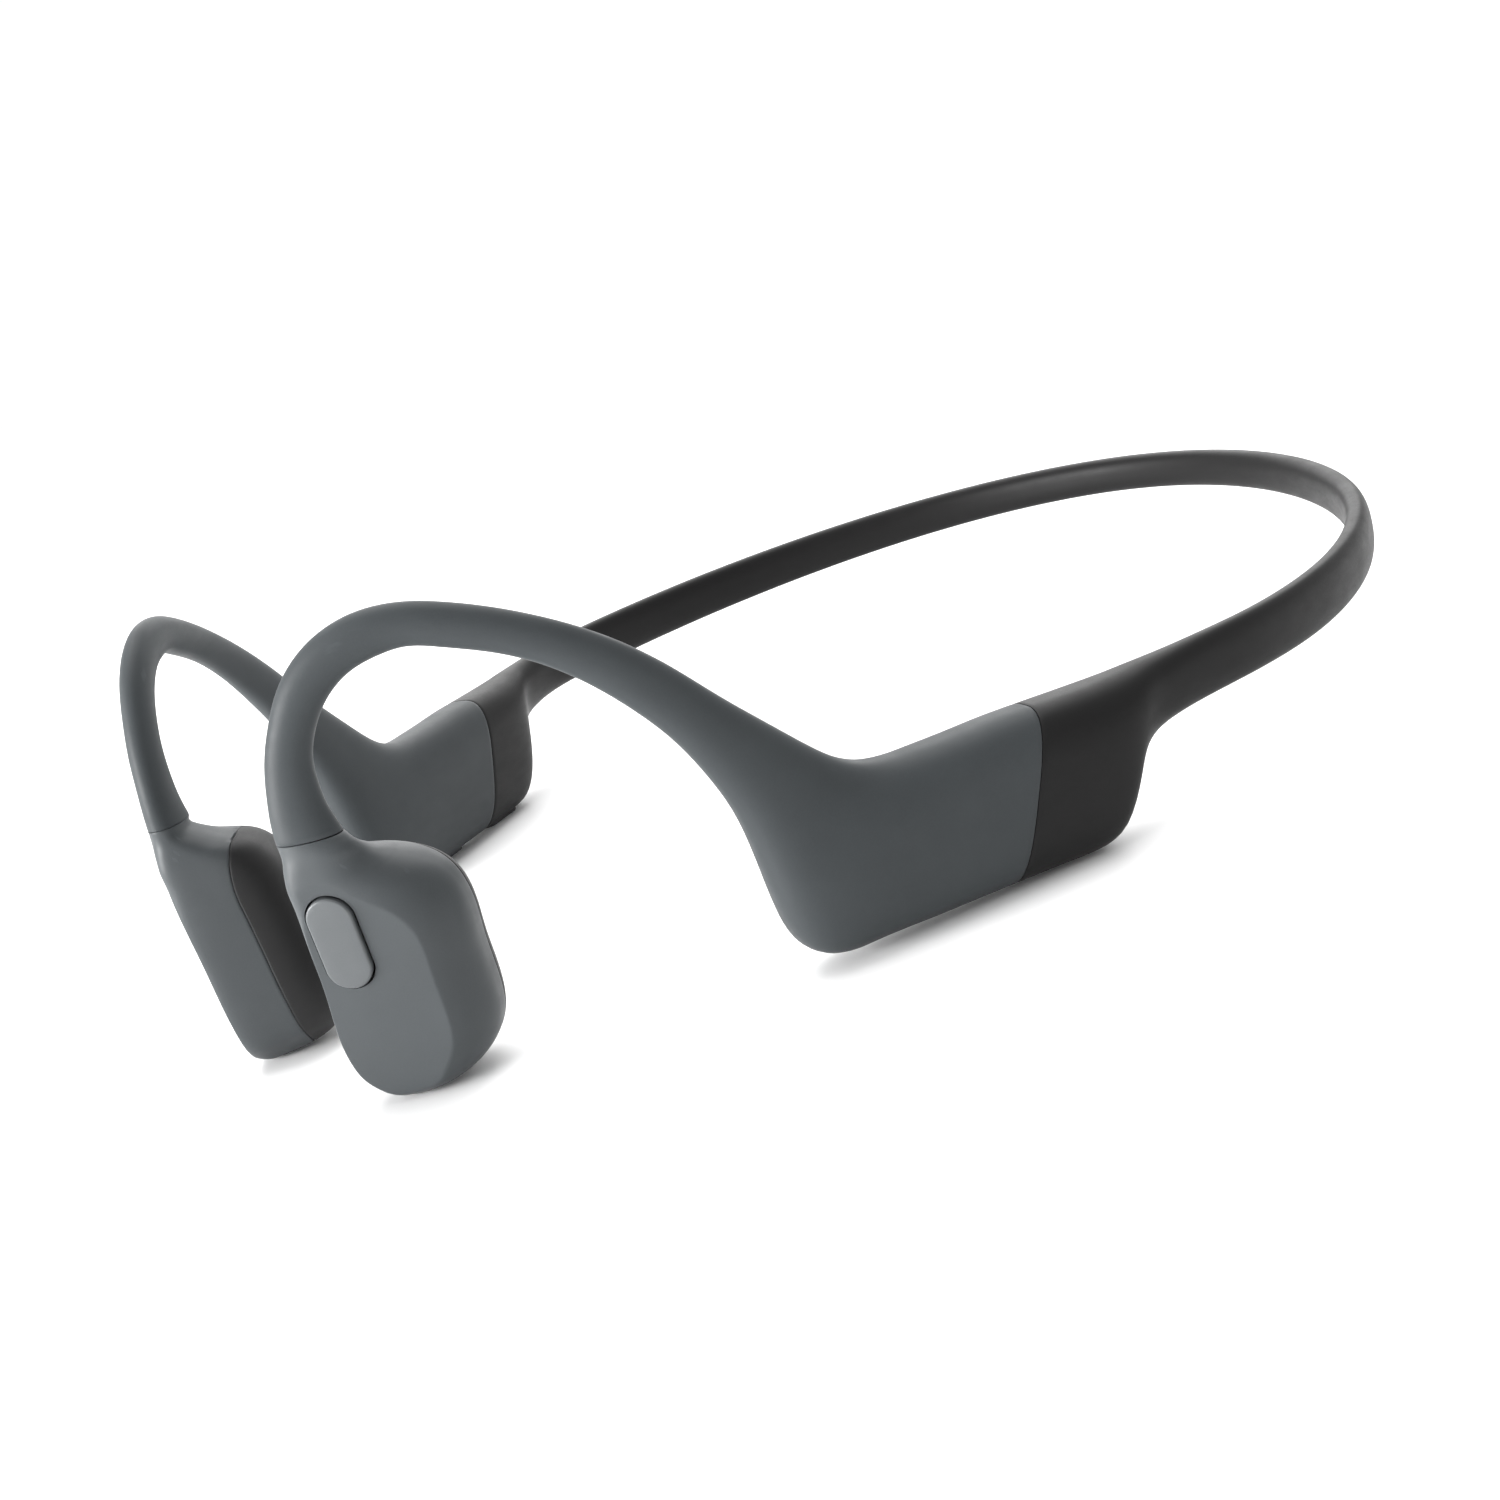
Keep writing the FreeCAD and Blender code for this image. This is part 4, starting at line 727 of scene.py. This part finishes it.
GREY = (0.041, 0.046, 0.049)
BLACK = (0.0080, 0.0078, 0.0080)
MATERIALS = {
    "grey_silicone": moulded("grey_silicone", GREY, 0.50, grain=0.17, depth=2.2,
                             specular=0.16, sheen=0.02),
    "grey_plastic": moulded("grey_plastic", (0.052, 0.0575, 0.061), 0.44, grain=0.15, depth=2.0,
                            specular=0.20, sheen=0.02),
    "button_grey": moulded("button_grey", (0.076, 0.082, 0.086), 0.38, grain=0.14, depth=1.8, specular=0.4),
    "black_silicone": moulded("black_silicone", BLACK, 0.46, grain=0.17, depth=2.0,
                              specular=0.16, sheen=0.02),
    "black_pad": moulded("black_pad", (0.013, 0.0128, 0.0132), 0.56, grain=0.19, depth=2.8,
                         specular=0.25, sheen=0.04),
    "inner_plastic": moulded("inner_plastic", (0.035, 0.035, 0.038), 0.45, grain=0.2, depth=3.0),
    "lead_jacket": moulded("lead_jacket", (0.12, 0.02, 0.018), 0.5, grain=0.1, depth=2.0),
    "ceramic": moulded("ceramic", (0.6, 0.58, 0.53), 0.45, grain=0.12, depth=3.0),
    "port_plastic": moulded("port_plastic", (0.014, 0.014, 0.015), 0.38, grain=0.14, depth=1.6),
    "titanium": metal("titanium", (0.55, 0.53, 0.5), 0.34),
    "steel": metal("steel", (0.62, 0.62, 0.61), 0.3),
    "magnet": metal("magnet", (0.52, 0.53, 0.55), 0.2),
    "switch_metal": metal("switch_metal", (0.66, 0.66, 0.67), 0.28),
    "gold_contacts": metal("gold_contacts", (0.86, 0.62, 0.25), 0.22),
    "battery_foil": metal("battery_foil", (0.6, 0.61, 0.63), 0.33, stretch=(1.0, 1.0, 1.0), lines=400.0),
    "copper": wound_copper("copper"),
    "circuit_board": circuit_board("circuit_board"),
    "light_pipe": glassy("light_pipe"),
}


def dress(piece, slot):
    """Gives a piece the material of its slot."""
    piece.data.materials.clear()
    piece.data.materials.append(MATERIALS[slot])


SLOT_OF = {row["node"]: row["material_slot"] for row in frame["record"]["subparts"]}
for node, cad_piece in frame["nodes"].items():
    for material_slot in cad_piece.material_slots:
        material_slot.link = "OBJECT"
        material_slot.material = MATERIALS[SLOT_OF[node]]

# ---------------------------------------------------------------- pieces of the arms

ARM_COLUMNS = 72
HOOK_SPACING, BAND_SPACING = 0.55, 0.7

# Angles, in degrees, above which an edge stays sharp, and how near points of a transducer merge.
SKIN_SHARP, CARVED_SHARP, PORT_SHARP, CAP_SHARP = 40, 35, 45, 50
WELD = 0.0005

# The two sides: the body that each rides on, and whether it is the mirrored one.
SIDES = (("left", "left_arm", False), ("right", "root", True))

# Holes: points of their outline, and how much longer than wide a round one is.
HOLE_POINTS, ROUND_EXTRA = 48, 0.01

# Under the right pod: places along the arm, and sizes. Holes start below the skin.
CASE_RUN = 61.7
HOLE_START = -1
VOLUME_RUNS = {"volume_up_button": 50.2, "volume_down_button": 57.4}
VOLUME_WIDTH, VOLUME_LENGTH, VOLUME_GAP, VOLUME_LOW, VOLUME_HOLE_TOP = 2.6, 6.4, 0.1, -0.03, 1.9
PORT_RUN, PORT_WIDTH, PORT_LENGTH, PORT_CORNER, PORT_LOW, PORT_TOP = 69.8, 4.2, 8.0, 1.6, 0.3, 2.0
PORT_ROOM, PORT_GAP = 0.1, 0.05
CONTACT_PLACES, CONTACT_HOLE, CONTACT_HOLE_TOP = (-1.3, 1.3), 1.24, 3
LIGHT_RUN, LIGHT_HOLE, LIGHT_HOLE_TOP = 62.0, 1.3, 3.4

# Wire and lead inside the band: material, height above the band's middle, and diameter.
BAND_CORES = (("neckband_wire", "titanium", 0.95, 1.0), ("neckband_lead", "lead_jacket", -0.95, 0.9))
CORE_FIRST_RING = 25


def floor_axes(run):
    """Axes under the right pod: a point, across, along towards the back, and up."""
    out = outward(CASE_RUN)
    ahead = np.array([-out[1], out[0], 0.0])
    point = on_arm(CASE_RUN, 0.0) + ahead * (run - CASE_RUN)
    ahead = ahead * MIRROR
    return point * MIRROR, np.cross(ahead, UP), ahead, UP


def block_cutter(name, axes, outline, low, high):
    """Closed block between two heights, to cut out of a piece."""
    rings = np.array([at_height(outline, low), at_height(outline, high)])
    return make_object(name, placed(rings, *axes), tube_faces(2, len(outline)))


def slot_cutter(name, axes, width, length, low, high):
    return block_cutter(name, axes, stadium(width, length, HOLE_POINTS), low, high)


def round_cutter(name, axes, diameter, low, high):
    return slot_cutter(name, axes, diameter, diameter + ROUND_EXTRA, low, high)


def arm_skin(name, rings, mirror):
    """Skin piece of the arm from its rings."""
    tube = finished_tube(rings)
    return make_object(name, tube, tube_faces(len(tube), ARM_COLUMNS), mirror, SKIN_SHARP)


def hook_sleeves():
    rings = arm_rings(HOOK_STATIONS + [SEAM_STATION], 0, len(HOOK_STATIONS), HOOK_SPACING, ARM_COLUMNS)
    for side, body, mirror in SIDES:
        piece = arm_skin("hook_sleeve_%s_skin" % side, rings, mirror)
        if side == "right":
            width, length = VOLUME_WIDTH + 2 * VOLUME_GAP, VOLUME_LENGTH + 2 * VOLUME_GAP
            cutters = [slot_cutter("volume_hole", floor_axes(run), width, length, HOLE_START,
                                   VOLUME_HOLE_TOP) for run in VOLUME_RUNS.values()]
            cutters.append(round_cutter("light_hole", floor_axes(LIGHT_RUN), LIGHT_HOLE, HOLE_START,
                                        LIGHT_HOLE_TOP))
            carve(piece, cutters, CARVED_SHARP)
        dress(piece, "grey_silicone")
        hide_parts("hook_sleeve_" + side)
        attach(piece, body)


def neckband():
    stations = [HOOK_STATIONS[-1], SEAM_STATION] + BAND_START_STATIONS + band_stations()
    half = arm_rings(stations, 1, len(stations) - 2, BAND_SPACING, ARM_COLUMNS)
    piece = arm_skin("neckband_skin", np.concatenate([half, half[-2::-1] * MIRROR]), False)
    opening = rounded_rectangle(PORT_WIDTH + PORT_ROOM, PORT_LENGTH + PORT_ROOM, PORT_CORNER, HOLE_POINTS)
    hole = block_cutter("port_hole", floor_axes(PORT_RUN), opening, HOLE_START, PORT_TOP)
    carve(piece, [hole], CARVED_SHARP)
    dress(piece, "black_silicone")
    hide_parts("neckband_sleeve")
    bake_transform(piece)
    middles = half.mean(axis=1)[CORE_FIRST_RING:]
    route = np.concatenate([middles, middles[-2::-1] * MIRROR])[::2]
    for name, slot, lift, diameter in BAND_CORES:
        core = make_object(name + "_core", *round_tube(route + (0, 0, lift), diameter))
        dress(core, slot)
        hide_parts(name)
        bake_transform(core)


def round_tube(route, diameter, count=12):
    """Points and faces of a round tube along a route."""
    ahead = np.gradient(route, axis=0)
    ahead /= np.linalg.norm(ahead, axis=1, keepdims=True)
    side = np.cross(ahead, UP)
    side /= np.linalg.norm(side, axis=1, keepdims=True)
    over = np.cross(side, ahead)
    turn = np.linspace(0, 2 * math.pi, count, endpoint=False)
    rings = (route[:, None] + side[:, None] * (np.cos(turn) * diameter / 2)[None, :, None]
             + over[:, None] * (np.sin(turn) * diameter / 2)[None, :, None])
    return rings, tube_faces(len(rings), count)


hook_sleeves()
neckband()

# ---------------------------------------------------------------- pieces of the transducers

# Places on the facet, to the rear and up, and sizes. Holes end above the facet.
BUTTON_U, BUTTON_W = 2.7, -4.7
BUTTON_WIDTH, BUTTON_LENGTH, BUTTON_PROUD, BUTTON_GAP, BUTTON_DEPTH = 4.6, 9.6, 0.5, 0.22, -1.6
MICROPHONE_U, MICROPHONE_W, MICROPHONE_HOLE, MICROPHONE_DEPTH = 2.8, -15.4, 0.8, -1.2
HOLE_END = 1
BUTTON_AXES = (from_shell((BUTTON_U, BUTTON_W, 0)), SHELL_U, SHELL_W, SHELL_N)
MICROPHONE_AXES = tuple(axis * MIRROR for axis in (from_shell((MICROPHONE_U, MICROPHONE_W, 0)),
                                                   SHELL_U, SHELL_W, SHELL_N))

# Caps: steps round the edge, bevel at the foot, width of the domed rim, where its rings lie, and
# the least width and corner that an inset outline keeps.
EDGE_ROUNDS, FOOT_BEVEL, DOME_WIDTH, DOME_PARTS = 5, 0.05, 1.2, (0.25, 0.5, 0.75, 0.95)
LEAST_WIDTH, LEAST_CORNER = 0.05, 0.1


def facet_cutter(side):
    """The left shell's button opening, or the right shell's microphone hole."""
    if side == "left":
        return slot_cutter("button_hole", BUTTON_AXES, BUTTON_WIDTH + 2 * BUTTON_GAP,
                           BUTTON_LENGTH + 2 * BUTTON_GAP, BUTTON_DEPTH, HOLE_END)
    return round_cutter("sound_hole", MICROPHONE_AXES, MICROPHONE_HOLE, MICROPHONE_DEPTH, HOLE_END)


def transducers():
    shell_rings = from_shell(grey_grid())
    shell_rings = np.concatenate([end_lip(shell_rings, grid_normals(shell_rings)), shell_rings[1:]])
    pad_rings = from_shell(black_grid())
    for side, body, mirror in SIDES:
        shell = make_object("transducer_shell_%s_skin" % side, shell_rings,
                            tube_faces(*shell_rings.shape[:2]), mirror, SKIN_SHARP, WELD)
        carve(shell, [facet_cutter(side)], CARVED_SHARP)
        dress(shell, "grey_plastic")
        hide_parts("transducer_shell_" + side)
        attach(shell, body)
        pad = make_object("contact_pad_%s_skin" % side, pad_rings, tube_faces(*pad_rings.shape[:2]),
                          mirror, SKIN_SHARP, WELD)
        dress(pad, "black_pad")
        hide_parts("contact_pad_" + side)
        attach(pad, body)


def cap_piece(name, slot, body, axes, outline, levels):
    """Closed cap from an outline function at levels of inset and height."""
    rings = np.array([at_height(outline(inset), height) for inset, height in levels])
    piece = make_object(name + "_cap", placed(rings, *axes), tube_faces(*rings.shape[:2]), False, CAP_SHARP)
    dress(piece, slot)
    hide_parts(name)
    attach(piece, body)
    return piece


def rounded_top(top, edge, foot, dome=0.0):
    """Levels (inset, height) of a cap with a rounded edge and a slightly domed face."""
    levels = [(FOOT_BEVEL, foot), (0.0, foot + FOOT_BEVEL)]
    for step in range(EDGE_ROUNDS + 1):
        turn = math.pi / 2 * step / EDGE_ROUNDS
        levels.append((edge * (1 - math.cos(turn)), top - dome - edge * (1 - math.sin(turn))))
    for part in DOME_PARTS:
        levels.append((edge + part * DOME_WIDTH, top - dome * (1 - part) ** 2))
    return levels


def button_cap(name, axes, width, length, levels):
    """Slot-shaped button on a body of its own."""
    cap_piece(name, "button_grey", name, axes,
              lambda inset: stadium(max(LEAST_WIDTH, width - 2 * inset), length - 2 * inset), levels)


def buttons():
    button_cap("function_button", BUTTON_AXES, BUTTON_WIDTH, BUTTON_LENGTH,
               rounded_top(BUTTON_PROUD, edge=0.24, foot=-1.1, dome=0.04))
    for name, run in VOLUME_RUNS.items():
        point, across, along, up = floor_axes(run)
        button_cap(name, (point + UP * VOLUME_LOW, across, along, -up), VOLUME_WIDTH, VOLUME_LENGTH,
                   rounded_top(0.0, edge=0.2, foot=-1.25, dome=0.03))


def port_outline(inset):
    corner = max(LEAST_CORNER, PORT_CORNER - inset)
    return rounded_rectangle(PORT_WIDTH - 2 * inset, PORT_LENGTH - 2 * inset, corner)


def charging_face():
    point, across, along, up = floor_axes(PORT_RUN)
    piece = cap_piece("charge_port_frame", "port_plastic", "root",
                      (point + UP * PORT_LOW, across, along, -up), port_outline,
                      rounded_top(0.0, edge=0.15, foot=PORT_LOW - PORT_TOP + PORT_GAP))
    carve(piece, [round_cutter("contact_hole", (point + along * place, across, along, up), CONTACT_HOLE,
                               HOLE_START, CONTACT_HOLE_TOP) for place in CONTACT_PLACES], PORT_SHARP)


transducers()
buttons()
charging_face()

# ---------------------------------------------------------------- floor, light and camera

# Metres: the floor is a wide disc, so that its rim lies far behind the headset.
FLOOR_RADIUS, FLOOR_SIDES = 2.2, 128

# Direction that the studio is dimmest in, and how its light fades towards that side.
DIM_SIDE = (0.77, -0.64, 0.0)
FADE = (("From Min", -0.1), ("From Max", 0.9), ("To Min", 1.02), ("To Max", 0.40))

CAMERA_PLACE = at_rest((184.8, -161.0, 73.2)) * MM
CAMERA_RIGHT = leaned((0.66684364, 0.69829506, -0.2601991))
CAMERA_UP = leaned((-0.0207383, 0.36642241, 0.93021747))
CAMERA_BACK = leaned((0.74490904, -0.61491352, 0.2588279))
CAMERA_LENS, CAMERA_SENSOR = 50.0, 36.0
CAMERA_NEAR, CAMERA_FAR = 0.01, 50.0


def pale_floor():
    """Matt, nearly white floor with faint clouding."""
    n = Nodes("pale_floor")
    clouding = n.ramp(n.noise(2.0, 3.0), 0.3, 0.7)
    tone = n.mix(clouding, rgb((0.86, 0.86, 0.86)), rgb((0.9, 0.9, 0.9)))
    return n.finish(Base_Color=tone, Roughness=0.6, Specular_IOR_Level=0.2)


def floor_disc():
    mesh = bpy.data.meshes.new("floor")
    turns = np.linspace(0, 2 * math.pi, FLOOR_SIDES, endpoint=False)
    rim = [(FLOOR_RADIUS * math.cos(turn), FLOOR_RADIUS * math.sin(turn), 0) for turn in turns]
    mesh.from_pydata(rim, [], [tuple(range(FLOOR_SIDES))])
    mesh.materials.append(pale_floor())
    floor = bpy.data.objects.new("floor", mesh)
    bpy.context.scene.collection.objects.link(floor)


def softbox(name, place, aim, width, height, power):
    """Rectangular area light at a place, turned towards its aim."""
    light = bpy.data.lights.new(name, "AREA")
    light.shape = "RECTANGLE"
    light.size, light.size_y = width, height
    light.energy = power
    lamp = bpy.data.objects.new(name, light)
    lamp.location = place
    lamp.rotation_euler = (Vector(aim) - Vector(place)).to_track_quat("-Z", "Y").to_euler()
    bpy.context.scene.collection.objects.link(lamp)


def studio_world():
    """White surroundings that dim towards one side."""
    world = bpy.data.worlds.new("studio")
    bpy.context.scene.world = world
    world.use_nodes = True
    tree = world.node_tree
    facing = tree.nodes.new("ShaderNodeVectorMath")
    facing.operation = "DOT_PRODUCT"
    feed(tree, facing.inputs[0], tree.nodes.new("ShaderNodeTexCoord").outputs["Generated"])
    feed(tree, facing.inputs[1], DIM_SIDE)
    fade = tree.nodes.new("ShaderNodeMapRange")
    feed(tree, fade.inputs["Value"], facing.outputs["Value"])
    for name, value in FADE:
        feed(tree, fade.inputs[name], value)
    backdrop = tree.nodes["Background"]
    feed(tree, backdrop.inputs["Color"], rgb((1.0, 1.0, 1.0)))
    feed(tree, backdrop.inputs["Strength"], fade.outputs["Result"])


def place_camera():
    data = bpy.data.cameras.new("camera")
    data.lens = CAMERA_LENS
    data.sensor_width = CAMERA_SENSOR
    data.clip_start, data.clip_end = CAMERA_NEAR, CAMERA_FAR
    camera = bpy.data.objects.new("camera", data)
    turning = Matrix(np.array([CAMERA_RIGHT, CAMERA_UP, CAMERA_BACK]).tolist()).transposed()
    camera.matrix_world = Matrix.Translation(CAMERA_PLACE) @ turning.to_4x4()
    bpy.context.scene.collection.objects.link(camera)
    bpy.context.scene.camera = camera


floor_disc()
softbox("overhead", (-0.6, 0.6, 2.2), (-0.2, 0.2, 0), width=2.4, height=2.4, power=62.0)
softbox("front_side", (-0.30, -0.92, 0.16), (0, 0, 0.02), width=0.6, height=0.45, power=24.0)
softbox("back_rim", (-0.75, 0.75, 0.45), (0, 0, 0.02), width=1.2, height=0.5, power=5.0)
studio_world()
bpy.context.scene.view_settings.view_transform = "Standard"
place_camera()

bpy.context.view_layer.update()
